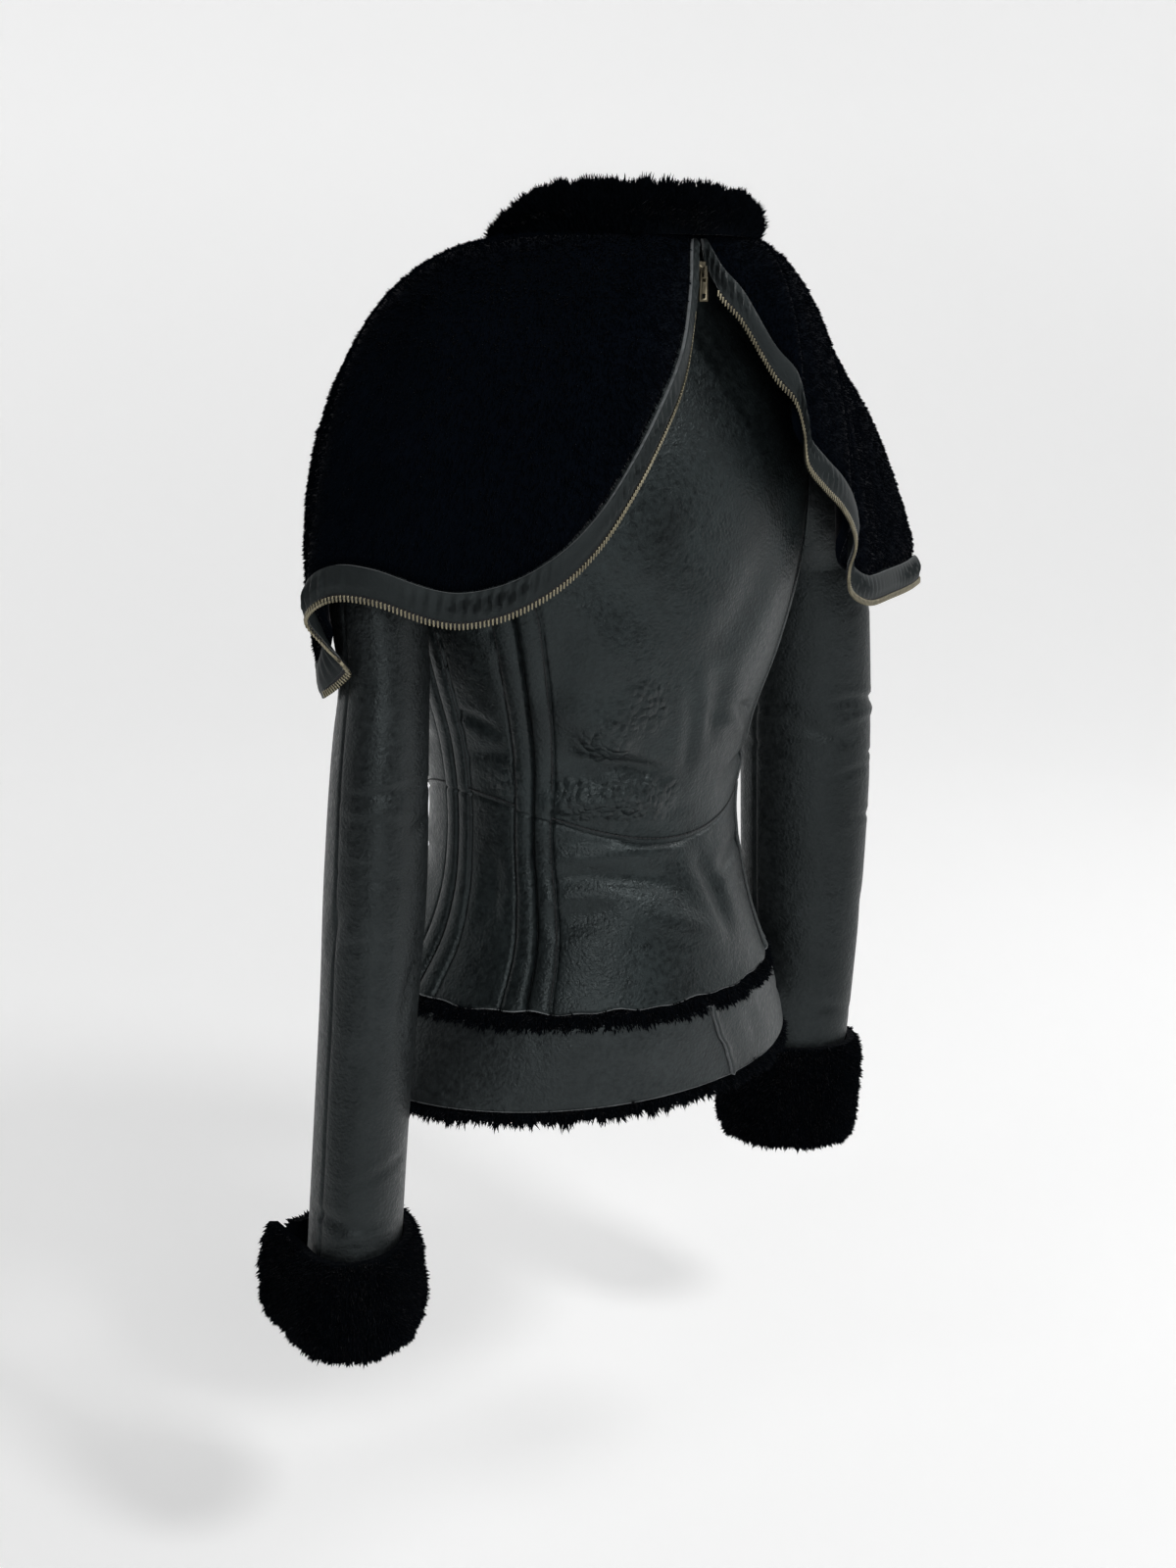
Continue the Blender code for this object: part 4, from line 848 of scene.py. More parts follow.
def princess_turn(z):
    """The princess seam bends outwards into the armhole."""
    bend = ease((z - PRINCESS_BEND_Z) / (PRINCESS_END_Z - PRINCESS_BEND_Z)) ** 1.5
    return PRINCESS + (PRINCESS_END_TURN - PRINCESS) * bend


def armhole_bulge(z):
    level = np.clip((z - ARMHOLE_Z) / ARMHOLE_HALF_HEIGHT, -1.0, 1.0)
    return ARMHOLE_HALF_ANGLE * np.sqrt(1 - level**2)


def back_edge_turn(z):
    """Edge of the centre back: princess seam, armhole, then shoulder seam."""
    return np.where(z <= PRINCESS_END_Z, princess_turn(z), 90.0 - armhole_bulge(z))


def front_edge_turn(z):
    """Edge of the front: side seam, armhole, then shoulder seam."""
    side = SIDE_SEAM + (90.0 - SIDE_SEAM) * ease((z - ARMHOLE_LOW_Z + SIDE_BEND) / SIDE_BEND)
    return np.where(z <= ARMHOLE_LOW_Z, side, 90.0 + armhole_bulge(z))


def edge_sink(points, depth=SEAM_SINK):
    """How far the four edges of a panel roll in, from distances along its grid."""
    across = np.linalg.norm(np.diff(points, axis=1), axis=2)
    along = np.linalg.norm(np.diff(points, axis=0), axis=2)
    left = np.concatenate((np.zeros((len(points), 1)), np.cumsum(across, axis=1)), axis=1)
    low = np.concatenate((np.zeros((1, points.shape[1])), np.cumsum(along, axis=0)), axis=0)
    nearest = np.minimum.reduce((left, left[:, -1:] - left, low, low[-1:] - low))
    return -depth * np.exp(-((nearest / SEAM_SOFTNESS) ** 2))


def body_panel(name, turn, z, raised, hand="", raw_rows=()):
    """A leather body panel on grids of turn and height, left or right."""
    mirrored = hand == "right"
    side = -1.0 if mirrored else 1.0
    point = body_point(turn, z)
    out = body_normal(turn, z)
    bend = creased(BODY_CREASES, turn * side, z, TURN_MM, BODY_RELIEF)
    rise = raised(turn, z) + edge_sink(point)
    full = f"{name}_{hand}" if hand else name
    cloth(f"{full}_skin", full, lifted(point, out, bend + rise), lifted(point, out, bend - LEATHER),
          (BODY_LEATHER, LINING_PILE, CUT_EDGE), mirrored, raw_rows)


def body_welts(turn, z):
    return welt(np.abs(turn), PRINCESS) + welt(np.abs(turn), SIDE_SEAM)


def lower_panels():
    """Panels from the waist seam to the band; their edges are cut raw and wavy."""
    def panel(name, low_turn, high_turn, hand=""):
        width = (high_turn - low_turn) * TURN_MM
        share, level = np.meshgrid(stops(width, WELT_STOPS), stops(LOWER_HEIGHT))
        turn = low_turn + GAP_TURN + (high_turn - low_turn - 2 * GAP_TURN) * share
        top = waist_z(turn) - DRAWN_GAP / 2
        wavy = 1.0 * np.sin(np.radians(turn) * 13 + 1.3) + 0.8 * np.sin(np.radians(turn) * 29)
        low = BODY_EDGE_Z - RAW_EDGE_DROP + wavy
        z = low + (top - low) * level
        fall = (top - z) / (top - BODY_EDGE_Z)
        drift = PRINCESS_DRIFT * fall**2 * np.exp(-((np.abs(turn) - PRINCESS) / DRIFT_SPREAD) ** 2)
        moved = turn - np.sign(turn) * drift

        def raised(_, height):
            curl = RAW_CURL * np.exp(-((height - BODY_EDGE_Z) / 5) ** 2)
            return body_welts(turn, height) + curl

        body_panel(name, moved, z, raised, hand, raw_rows=(0,))

    panel("back_centre_lower", -PRINCESS, PRINCESS)
    for hand in ("left", "right"):
        panel("back_side_lower", PRINCESS, SIDE_SEAM, hand)
        panel("front_lower", SIDE_SEAM, 180.0, hand)


def upper_welts(turn, z):
    """The welts die away where their seams run into the armhole."""
    turn = np.abs(turn)
    princess = ease((PRINCESS_END_Z + PRINCESS_WELT_END - z) / PRINCESS_WELT_END)
    side = ease((ARMHOLE_LOW_Z - z) / SIDE_WELT_END)
    return welt(turn, princess_turn(z)) * princess + welt(turn, front_edge_turn(z)) * side


def armhole_levels(first, last):
    """Heights of the armhole between two of its steps."""
    return armhole(np.linspace(first, last, 26))[1][1:]


def upper_panels():
    """Panels from the waist seam up to the armholes, shoulders and neck."""
    share = stops(2 * PRINCESS * TURN_MM, WELT_STOPS) * 2 - 1
    flat_turn, level = np.meshgrid(share * (PRINCESS - GAP_TURN), stops(BACK_HEIGHT))
    start = waist_z(flat_turn) + DRAWN_GAP / 2
    z_low = start + (PRINCESS_END_Z - start) * level
    turn_low = flat_turn * back_edge_turn(z_low) / PRINCESS
    across, z_mid = np.meshgrid(share, armhole_levels(PRINCESS_STEP, 0))
    turn_mid = across * (back_edge_turn(z_mid) - GAP_TURN)
    across, lift = np.meshgrid(share, np.linspace(0.0, 1.0, 14)[1:])
    turn_top = across * (90.0 - GAP_TURN)
    z_top = ARMHOLE_TOP_Z + (body_top_z(turn_top) - ARMHOLE_TOP_Z) * lift
    body_panel("back_centre_upper", np.concatenate((turn_low, turn_mid, turn_top)),
               np.concatenate((z_low, z_mid, z_top)), upper_welts)

    across = stops((SIDE_SEAM - PRINCESS) * TURN_MM, WELT_STOPS)
    share, level = np.meshgrid(across, stops(SIDE_HEIGHT))
    step = PRINCESS_STEP + (ARMHOLE_STEPS / 2 - PRINCESS_STEP) * share
    end_turn, end_z = armhole(step)
    low_turn = PRINCESS + GAP_TURN + (SIDE_SEAM - PRINCESS - 2 * GAP_TURN) * share
    low_z = waist_z(low_turn) + DRAWN_GAP / 2
    z = low_z + (end_z - low_z) * level
    inner_turn = princess_turn(z) + GAP_TURN
    seam_turn = front_edge_turn(z) - GAP_TURN
    turn = inner_turn + (seam_turn - inner_turn) * share
    top_inner = princess_turn(end_z) + GAP_TURN
    top_turn = top_inner + (front_edge_turn(end_z) - GAP_TURN - top_inner) * share
    turn = turn + (np.minimum(end_turn, seam_turn) - top_turn) * level**4
    for hand in ("left", "right"):
        body_panel("back_side_upper", turn, z, upper_welts, hand=hand)

    share = stops((180.0 - SIDE_SEAM) * TURN_MM, WELT_STOPS)
    across, level = np.meshgrid(share, stops(FRONT_HEIGHT))
    flat_turn = SIDE_SEAM + GAP_TURN + across * (180.0 - SIDE_SEAM - 2 * GAP_TURN)
    start = waist_z(flat_turn) + DRAWN_GAP / 2
    z_low = start + (ARMHOLE_LOW_Z - start) * level
    edge = front_edge_turn(z_low)
    turn_low = edge + (180.0 - edge) * (flat_turn - SIDE_SEAM) / (180.0 - SIDE_SEAM)
    across, z_mid = np.meshgrid(share, armhole_levels(ARMHOLE_STEPS / 2, ARMHOLE_STEPS))
    edge = front_edge_turn(z_mid) + GAP_TURN
    turn_mid = edge + (180.0 - GAP_TURN - edge) * across
    across, lift = np.meshgrid(share, np.linspace(0.0, 1.0, 14)[1:])
    turn_top = 90.0 + GAP_TURN + (90.0 - 2 * GAP_TURN) * across
    z_top = ARMHOLE_TOP_Z + (body_top_z(turn_top) - ARMHOLE_TOP_Z) * lift
    turn = np.concatenate((turn_low, turn_mid, turn_top))
    z = np.concatenate((z_low, z_mid, z_top))
    for hand in ("left", "right"):
        body_panel("front_upper", turn, z, upper_welts, hand=hand)


def ring_strip(low, high, grow, turns, rows, sway=None):
    """Points and outward directions of a strip that runs round the body."""
    turn, share = np.meshgrid(turns, rows)
    z = low + (high - low) * share
    if sway:
        turn = turn + sway(turn, z)
    angle = np.radians(turn)
    away = np.stack((np.sin(angle), np.cos(angle), np.zeros_like(angle)), axis=-1)
    return body_point(turn, z) + away * grow, away, turn, z


def seam_lean(turn, z):
    """The band's back seam runs aslant, and its cut edge is wavy."""
    away = (turn - BAND_SEAM) * TURN_MM
    level = 2 * (z - BAND_BOTTOM_Z) / (BAND_TOP_Z - BAND_BOTTOM_Z) - 1
    wave = 0.35 * np.sin(level * 5.0) + 0.2 * np.sin(level * 11.0)
    return SEAM_LEAN * level * np.exp(-((away / 60) ** 2)) + wave * np.exp(-((away / 10) ** 2))


def hem_bands():
    """The two halves of the hem band; at the back the right one laps up."""
    for hand, first, last in (("left", BAND_SEAM + GAP_TURN, 180.0 - GAP_TURN),
                              ("right", -180.0 + GAP_TURN, BAND_SEAM - GAP_TURN)):
        turns = first + (last - first) * stops((last - first) * TURN_MM)
        rows = stops(BAND_TOP_Z - BAND_BOTTOM_Z)
        point, away, turn, z = ring_strip(BAND_BOTTOM_Z, BAND_TOP_Z, 1.5, turns, rows, seam_lean)
        bend = creased(BAND_CREASES, turn, z, TURN_MM)
        beside = np.abs(turns - BAND_SEAM) * TURN_MM
        curl = (LAP_CURL if hand == "right" else BUTT_CURL) * np.exp(-((beside / 3.0) ** 2))
        ruck = BAND_RUCK * np.sin(turn * 1.9 + 2.0 * np.sin(turn * 0.7)) * ease((z + 545) / 25)
        outer = lifted(point, away, bend + curl + ruck + edge_sink(point))
        inner = lifted(point, away, bend - LEATHER)
        cloth(f"hem_band_{hand}_skin", f"hem_band_{hand}", outer, inner,
              (BAND_LEATHER, LINING_PILE, CUT_EDGE), raw_rows=(0, outer.shape[0] - 2))


# --------------------------------------------------------------------- sleeves
LAST_HEAD = len(SLEEVE_HEAD) - 1


def armhole_point(step):
    """A point of the sleeve's first ring, just inside and outside the armhole."""
    turn, z = armhole(step)
    inset = 1.0 - ARMHOLE_GAP / ARMHOLE_HALF_HEIGHT
    turn = 90.0 + (turn - 90.0) * (1.0 - ARMHOLE_GAP / ARMHOLE_WIDTH)
    z = ARMHOLE_Z + (z - ARMHOLE_Z) * inset
    return body_point(turn, z) + np.array((ARMHOLE_GAP / 2, 0.0, 0.0))


def arm_ring(arm, z, angle):
    """Outside of the hanging sleeve; angle runs from +X towards +Y."""
    rows = arm[::-1]
    keys = column(rows, "z")
    names = ("centre_x", "centre_y", "wide", "narrow")
    x, y, wide, narrow = [smooth_through(keys, column(rows, name), z) for name in names]
    away = angle - math.radians(ARM_TURN)
    radius = 1.0 / np.hypot(np.cos(away) / wide, np.sin(away) / narrow)
    return np.stack((x + radius * np.cos(angle), y + radius * np.sin(angle), z + 0 * radius), axis=-1)


def sleeve_head(arm, step, row):
    """The fanned head: row 0 is the armhole, the last row hangs level."""
    angle = 2 * np.pi * step / ARMHOLE_STEPS
    keys = np.arange(len(SLEEVE_HEAD), dtype=float)
    turn, high, deep, share = [
        smooth_through(keys, column(SLEEVE_HEAD, name), row)
        for name in ("turn", "half_height", "half_depth", "armhole_share")]
    turn = np.radians(turn)
    outwards = np.stack((np.sin(turn), np.zeros_like(turn), np.cos(turn)), axis=-1)
    pivot = np.array(UNDERARM) + np.array(UNDERARM_STEP) * row[..., None]
    fan = pivot + outwards * (high * (1.0 + np.cos(angle)))[..., None]
    fan[..., 1] += deep * np.sin(angle)
    settle = ease((row - 2.0) / (LAST_HEAD - 2.0))
    fan[..., 1] += (arm[0].centre_y - UNDERARM[1]) * settle
    hanging = arm_ring(arm, np.full_like(angle, arm[0].z), angle)
    hanging[..., 2] += HEAD_LIFT
    blend = HEAD_SETTLE * settle[..., None]
    fan = fan * (1 - blend) + hanging * blend
    return fan * (1 - share[..., None]) + armhole_point(step) * share[..., None]


def sleeve_surface(arm, end_z):
    """The outside of a whole sleeve, at steps round it and rows down it."""
    def point(step, row):
        step, row = np.broadcast_arrays(step, row)
        head = sleeve_head(arm, step, np.clip(row, 0.0, LAST_HEAD))
        share = np.clip((row - LAST_HEAD) / (SLEEVE_ROWS - LAST_HEAD), 0.0, 1.0)
        z = arm[0].z + (end_z - arm[0].z) * share
        hang = arm_ring(arm, z, 2 * np.pi * step / ARMHOLE_STEPS)
        return np.where((row <= LAST_HEAD)[..., None], head, hang)
    return point


def sleeves():
    """Two pieces for each arm, skived thin where they are sewn in."""
    half = ARMHOLE_STEPS // 2
    for hand, arm, cuff in (("left", ARM_LEFT, CUFF_LEFT), ("right", ARM_RIGHT, CUFF_RIGHT)):
        surface = sleeve_surface(arm, cuff.sleeve_end_z)
        hanging_rows = np.linspace(LAST_HEAD, SLEEVE_ROWS, 128)[1:]
        rows = np.concatenate((np.linspace(0.0, LAST_HEAD, 46), hanging_rows))
        for side, first in (("back", SLEEVE_SEAM_STEP), ("front", SLEEVE_SEAM_STEP + half)):
            gap = DRAWN_GAP / 16.0
            step, row = np.meshgrid(first + gap + (half - 2 * gap) * stops(SLEEVE_HALF), rows)
            point = surface(step, row)
            across = surface(step + 0.02, row) - surface(step - 0.02, row)
            after = surface(step, np.minimum(row + 0.25, SLEEVE_ROWS))
            out = unit(np.cross(after - surface(step, np.maximum(row - 0.25, 0.0)), across))
            angle = np.degrees(2 * np.pi * step / ARMHOLE_STEPS)
            hanging = ease((row - LAST_HEAD + 1) / 1.5)
            bend = hanging * sum(
                creased(SLEEVE_CREASES, angle - full, point[..., 2], SLEEVE_DEGREE) for full in (0, 360))
            skived = LEATHER * (1.0 - (1.0 - SLEEVE_SKIVED) * ease(1 - row * 2))
            cloth(f"sleeve_{side}_{hand}_skin", f"sleeve_{side}_{hand}",
                  lifted(point, out, bend + edge_sink(point)), lifted(point, out, bend - skived),
                  (SLEEVE_LEATHER, LINING_PILE, CUT_EDGE), hand == "right")


# ------------------------------------------------------------------ fur pieces
def furred(name, outer, inner, locks, length, comb, ruffle, finish, mirrored=False,
           width=PILE_WIDTH, tips=None):
    """A dense pile base, and free locks of pile that stand out of it."""
    base = shell(f"{name}_base", outer, inner, (finish, finish, finish), mirrored)
    dress(base, name)
    side = -1.0 if mirrored else 1.0
    combed = (comb[0] * side, comb[1], comb[2])
    sow_pile(f"{name}_locks", base, locks, length, width, combed, ruffle, tips or finish)


def neck_point(turn, grow, z_above):
    """A point grown out from the neckline and lifted above it."""
    angle = np.radians(turn)
    return np.stack((
        (NECK_RING.half_width + grow) * np.sin(angle),
        NECK_RING.centre_y + (NECK_RING.half_depth + grow) * np.cos(angle),
        neck_z(turn) + z_above), axis=-1)


def collar_slope(turn):
    """From 0 at the back of the stand to 1 at its ends at the throat."""
    return ease((np.abs(turn) - STAND_SLOPE_TURN) / (STAND_LOW_TURN - STAND_SLOPE_TURN))


def collar():
    """The fur stand, a soft roll with shallow folds, open at the throat.

    Its foot swells over the hood's root, as the pile of both runs together.
    """
    turn, share = np.meshgrid(np.linspace(-COLLAR_END, COLLAR_END, 170), np.linspace(0, 1, 24))
    swell = smooth_through(column(COLLAR_PROFILE, "share"), column(COLLAR_PROFILE, "swell"), share)
    tilt = COLLAR_TILT * np.cos(np.radians(turn + COLLAR_TILT_TURN))
    height = (COLLAR_HEIGHT - tilt) * (1.0 - (1.0 - STAND_END_SHARE) * collar_slope(turn))
    spread = COLLAR_SPREAD * collar_slope(turn) * share
    folds = COLLAR_FOLD * np.sin(np.radians(turn) * 8 + 2.4 * share) * np.sin(np.pi * share)
    wave = COLLAR_WAVE * np.sin(np.radians(turn) * COLLAR_WAVES) * share
    foot = COLLAR_FOOT * np.clip(1.0 - share / 0.35, 0.0, 1.0) ** 2
    drop = COLLAR_FOOT_DROP * np.clip(1.0 - share / 0.2, 0.0, 1.0)
    outer = neck_point(turn, swell + wave + spread + folds + foot - 1.5, (height - 1.5) * share - drop)
    rim = COLLAR_SKIN * ease((share - 0.9) / 0.1)
    inside = COLLAR_SKIN - COLLAR_FUR + rim - COLLAR_LEAN * share + spread
    inner = neck_point(turn, inside, (height - 1.5) * share - drop)
    furred("collar", outer, inner, COLLAR_LOCKS, COLLAR_PILE, (0.0, 0.0, 0.9), 0.7, COMBED_PILE)


def cuffs():
    """Turned-back fur cuffs, whose two ends stand off at the slit."""
    for hand, arm, size in (("left", ARM_LEFT, CUFF_LEFT), ("right", ARM_RIGHT, CUFF_RIGHT)):
        degrees, share = np.meshgrid(np.linspace(CUFF_START, CUFF_END, 104), np.linspace(0.0, 1.0, 24))
        near_start = np.maximum(0.0, 1.0 - (degrees - CUFF_START) / CUFF_START_REACH) ** 2
        near_end = np.maximum(0.0, 1.0 - (CUFF_END - degrees) / CUFF_END_REACH) ** 2
        z = size.bottom_z + (size.top_z - size.bottom_z) * share + CUFF_RISE * near_start
        angle = np.radians(degrees)
        point = arm_ring(arm, z, angle)
        across = arm_ring(arm, z, angle + 1e-3) - arm_ring(arm, z, angle - 1e-3)
        out = unit(np.cross(across, (0.0, 0.0, 1.0)))
        off = CUFF_EASE + CUFF_FLARE * near_start + CUFF_END_FLARE * near_end
        swell = smooth_through(column(CUFF_PROFILE, "share"), column(CUFF_PROFILE, "swell"), share)
        lumps = CUFF_LUMP * np.sin(angle * 5 + 3 * share) * np.sin(np.pi * share)
        outer = lifted(point, out, off + FUR + swell + lumps - PILE_SINK)
        furred(f"cuff_{hand}", outer, lifted(point, out, off), CUFF_LOCKS, CUFF_PILE,
               (0.0, 0.0, -0.5), 0.45, COMBED_PILE, hand == "right")


def fringe(name, low, high, grow, length, comb):
    """Pile below a raw edge; its top is tucked up behind the skin."""
    turns = np.linspace(-180.0 + GAP_TURN, 180.0 - GAP_TURN, 260)
    point, away, _, z = ring_strip(low, high + FRINGE_TUCK, grow, turns, np.linspace(0.0, 1.0, 12))
    tucked = (LEATHER + grow + 1.5) * ease((z - high + 3.0) / 3.0)
    outer = lifted(point, away, -(tucked + 1.5))
    inner = lifted(point, away, -np.maximum(tucked + 3.0, FUR / 2))
    furred(name, outer, inner, FRINGE_LOCKS, length, comb, 0.75, COMBED_PILE)


def hem_furs():
    fringe("band_fur", BAND_TOP_Z - 3.0, BODY_EDGE_Z, 2.0, CUFF_PILE, (0.0, 0.0, -1.0))
    fringe("hem_fur", HEM_Z + 3.0, BAND_BOTTOM_Z, 1.0, LONG_PILE, (0.0, 0.0, -1.4))


# ------------------------------------------------------------------------ hood
class HoodHalf:
    """One hood half as a smooth sheet of ribs from neckline to free edge."""

    def __init__(self, hand, ribs, tucks, zip_last, folds):
        self.hand = hand
        self.ribs = ribs
        self.keys = np.arange(len(ribs), dtype=float)
        self.tucks = tucks
        self.zip_last = zip_last
        self.folds = folds
        self.mirrored = hand == "right"

    def value(self, name, k):
        return float(smooth_through(self.keys, column(self.ribs, name), k))

    def rib_line(self, k):
        """Points along a rib and their distance from the root."""
        turn = self.value("root_turn", k)
        root = neck_point(np.array(turn), 0.0, -SEAM_GAP - 0.2)
        edge = np.array([self.value(name, k) for name in ("edge_x", "edge_y", "edge_z")])
        radial = np.array((math.sin(math.radians(turn)), math.cos(math.radians(turn)), 0.0))
        side = np.array((edge[0], edge[1], 0.0))
        side /= np.linalg.norm(side)
        first = root + radial * self.value("reach", k)
        first[2] -= self.value("fall", k)
        last = edge + side * self.value("swell", k)
        last += (0.0, -self.value("sweep", k), self.value("lift", k))
        ts = np.linspace(0.0, 1.0, 97)[:, None]
        back = 1 - ts
        line = back**3 * root + 3 * back**2 * ts * first + 3 * back * ts**2 * last + ts**3 * edge
        return line, run_along(line)

    def length(self, k):
        return self.rib_line(k)[1][-1]

    def at(self, rib, k, from_edge):
        """Points from_edge millimetres up a rib from its free edge."""
        line, from_root = rib
        point = along_line(from_root[-1] - from_edge, from_root, line)
        felt = np.maximum(0.0, 1.0 - from_edge / TUCK_REACH) ** 2
        ribs = column(self.tucks, "rib")
        tuck = [np.interp(k, ribs, column(self.tucks, name)) for name in ("x", "y")]
        return point + np.array((*tuck, 0.0)) * felt[..., None]

    def points(self, k, from_edge):
        """Points and outward directions at distances up one rib."""
        rib = self.rib_line(k)
        point = self.at(rib, k, from_edge)
        felt = np.maximum(from_edge, ZIP_ROOM)
        above = self.at(rib, k, np.minimum(felt + 2.0, rib[1][-1]))
        down = self.at(rib, k, np.maximum(felt - 2.0, 0.0)) - above
        k_low = max(k - 0.2, 0.0)
        k_high = min(k + 0.2, self.keys[-1])
        low = self.rib_line(k_low)
        high = self.rib_line(k_high)
        share = felt / rib[1][-1]
        across = self.at(high, k_high, share * high[1][-1]) - self.at(low, k_low, share * low[1][-1])
        return point, unit(np.cross(across, down))

    def sheet(self, ks, distances):
        """Grids of points, outward directions and distances; one column a rib."""
        spots = [self.points(k, distances(k)) for k in ks]
        point = np.stack([spot[0] for spot in spots], axis=1)
        out = np.stack([spot[1] for spot in spots], axis=1)
        away = np.stack([distances(k) for k in ks], axis=1)
        return point, out, away

    def evenly(self, start, stop, pitch):
        """Ribs whose free ends are pitch millimetres apart."""
        dense = np.linspace(start, stop, 600)
        edge = np.array([self.at(self.rib_line(k), k, np.array(0.0)) for k in dense])
        run = run_along(edge)
        return np.interp(np.arange(0.0, run[-1], pitch), run, dense)

    def binding_top(self, k):
        return min(ZIP_ROOM + BINDING_WIDTH, self.length(k) - SHORTEST_FUR)

    def pile_base(self):
        """The dense pile of the half, rolled in at the binding."""
        ks = np.concatenate((self.evenly(0.0, self.keys[-1], 5.0), self.keys[-1:]))

        def distances(k):
            low = self.binding_top(k) + SEAM_GAP
            return low + (self.length(k) - low) * np.linspace(1.0, 0.0, 48) ** 1.1

        point, out, away = self.sheet(ks, distances)
        pressed = PRESSED * np.exp(-((ks - self.zip_last) / 2.5) ** 2)
        bend = creased(self.folds, np.broadcast_to(ks, away.shape), away, HOOD_RIB_MM)
        roll = HOOD_ROLL * np.exp(-((away - away[-1:]) / 5.0) ** 2)
        furred(f"hood_{self.hand}", lifted(point, out, bend - HOOD_SINK - roll),
               lifted(point, out, pressed - FUR), HOOD_LOCKS, PILE, (0.0, 0.0, -0.6), 0.25,
               HOOD_PILE, self.mirrored, VELVET_WIDTH, HOOD_TIPS)

    def binding(self):
        """The strip between pile and zip, puckered by its stitches."""
        ks = np.concatenate((self.evenly(0.0, self.keys[-1], 2.2), self.keys[-1:]))

        def distances(k):
            return ZIP_ROOM + (self.binding_top(k) - ZIP_ROOM) * np.linspace(1.0, 0.0, 12)

        point, out, away = self.sheet(ks, distances)
        run = run_along(point[-1])
        share = (away - ZIP_ROOM) / np.maximum(away[:1] - ZIP_ROOM, 1.0)
        phase = 2 * np.pi * run / PUCKER_LENGTH + 1.7 * np.sin(run / 31.0) + 0.9 * np.sin(run / 12.0)
        strength = 0.5 + 0.5 * np.sin(run / 23.0 + 1.0)
        puckers = PUCKER * np.sin(phase + 2.2 * share) * strength * np.sin(np.pi * share)
        crown = BINDING_CROWN * np.sin(np.pi * share) ** 0.7
        groove = -BINDING_GROOVE * np.exp(-((share - 0.14) / 0.05) ** 2)
        outer = lifted(point, out, crown + puckers + groove - 0.2)
        cloth(f"hood_binding_{self.hand}_skin", f"hood_binding_{self.hand}", outer, point - out * BINDING,
              (BINDING_SKIN, BINDING_SKIN, CUT_EDGE), self.mirrored)

    def zip_half(self):
        """Woven tape with a cord along its edge, and metal teeth clamped on it."""
        ks = self.evenly(ZIP_FIRST_RIB, self.zip_last, TOOTH_PITCH)

        def distances(k):
            return np.linspace(ZIP_WIDTH + 0.4, 1.6, 6)

        point, out, away = self.sheet(ks, distances)
        cord = CORD_RISE * np.exp(-((away - 2.0) / 0.7) ** 2)
        outer = lifted(point, out, cord - CORD_RISE)
        inner = lifted(point, out, -(1.7 + cord))
        tape = shell(f"zip_tape_{self.hand}", outer, inner, (ZIP_TAPE, ZIP_TAPE, ZIP_TAPE), self.mirrored)
        dress(tape, f"zip_{self.hand}")
        flip = mirror(self.mirrored)
        spots = []
        frames = []
        for k in ks:
            point, out = self.points(k, np.array(TOOTH_ENDS))
            across = (point[0] - point[1]) * flip
            across /= np.linalg.norm(across)
            up = out[0] * flip
            along = np.cross(across, up)
            along /= np.linalg.norm(along)
            up = np.cross(along, across)
            spots.append(((point[0] + point[1]) / 2 - out[0] * 0.6) * flip)
            frames.append((along, across, up))
        teeth = set_on_points(f"zip_teeth_{self.hand}", spots, frames, ONE_TOOTH, ZIP_BRASS)
        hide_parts(f"zip_{self.hand}")

    def build(self):
        self.pile_base()
        self.binding()
        self.zip_half()


# ------------------------------------------------------------- teeth and stitches
def small_part(name, corner, bevel=0.0):
    """A block that is copied and never shown; corner gives its corners in metres."""
    bm = bmesh.new()
    bmesh.ops.create_cube(bm, size=1.0)
    for vertex in bm.verts:
        vertex.co = corner(*vertex.co)
    if bevel:
        bmesh.ops.bevel(bm, geom=bm.edges[:], offset=bevel * MM, segments=1, affect="EDGES")
    mesh = bpy.data.meshes.new(name)
    bm.to_mesh(mesh)
    bm.free()
    made = put_in(name, mesh)
    made.hide_render = True
    return made


def tooth_corner(x, y, z):
    """One cast tooth: a block with a narrower nose, clamped round the cord."""
    along, across, through = TOOTH_SIZE
    nose = TOOTH_NOSE if y > 0 else 1.0
    return x * along * nose * MM, y * across * MM, z * through * nose * MM


def stitch_corner(x, y, z):
    """One stitch, longer where it goes into the skin."""
    foot = STITCH_FOOT if z < 0 else 1.0
    width, height = STITCH_SECTION
    return x * STITCH_LENGTH * MM * foot, y * width * MM, z * height * MM


def stitch_run(points, outs):
    """Even stitches along a line of points; returns their places and frames."""
    run = run_along(points)
    at = np.arange(STITCH_PITCH / 2, run[-1], STITCH_PITCH)
    along = unit(along_line(at + 1.0, run, points) - along_line(at - 1.0, run, points))
    across = unit(np.cross(along_line(at, run, outs), along))
    return list(along_line(at, run, points)), list(zip(along, across, np.cross(along, across)))


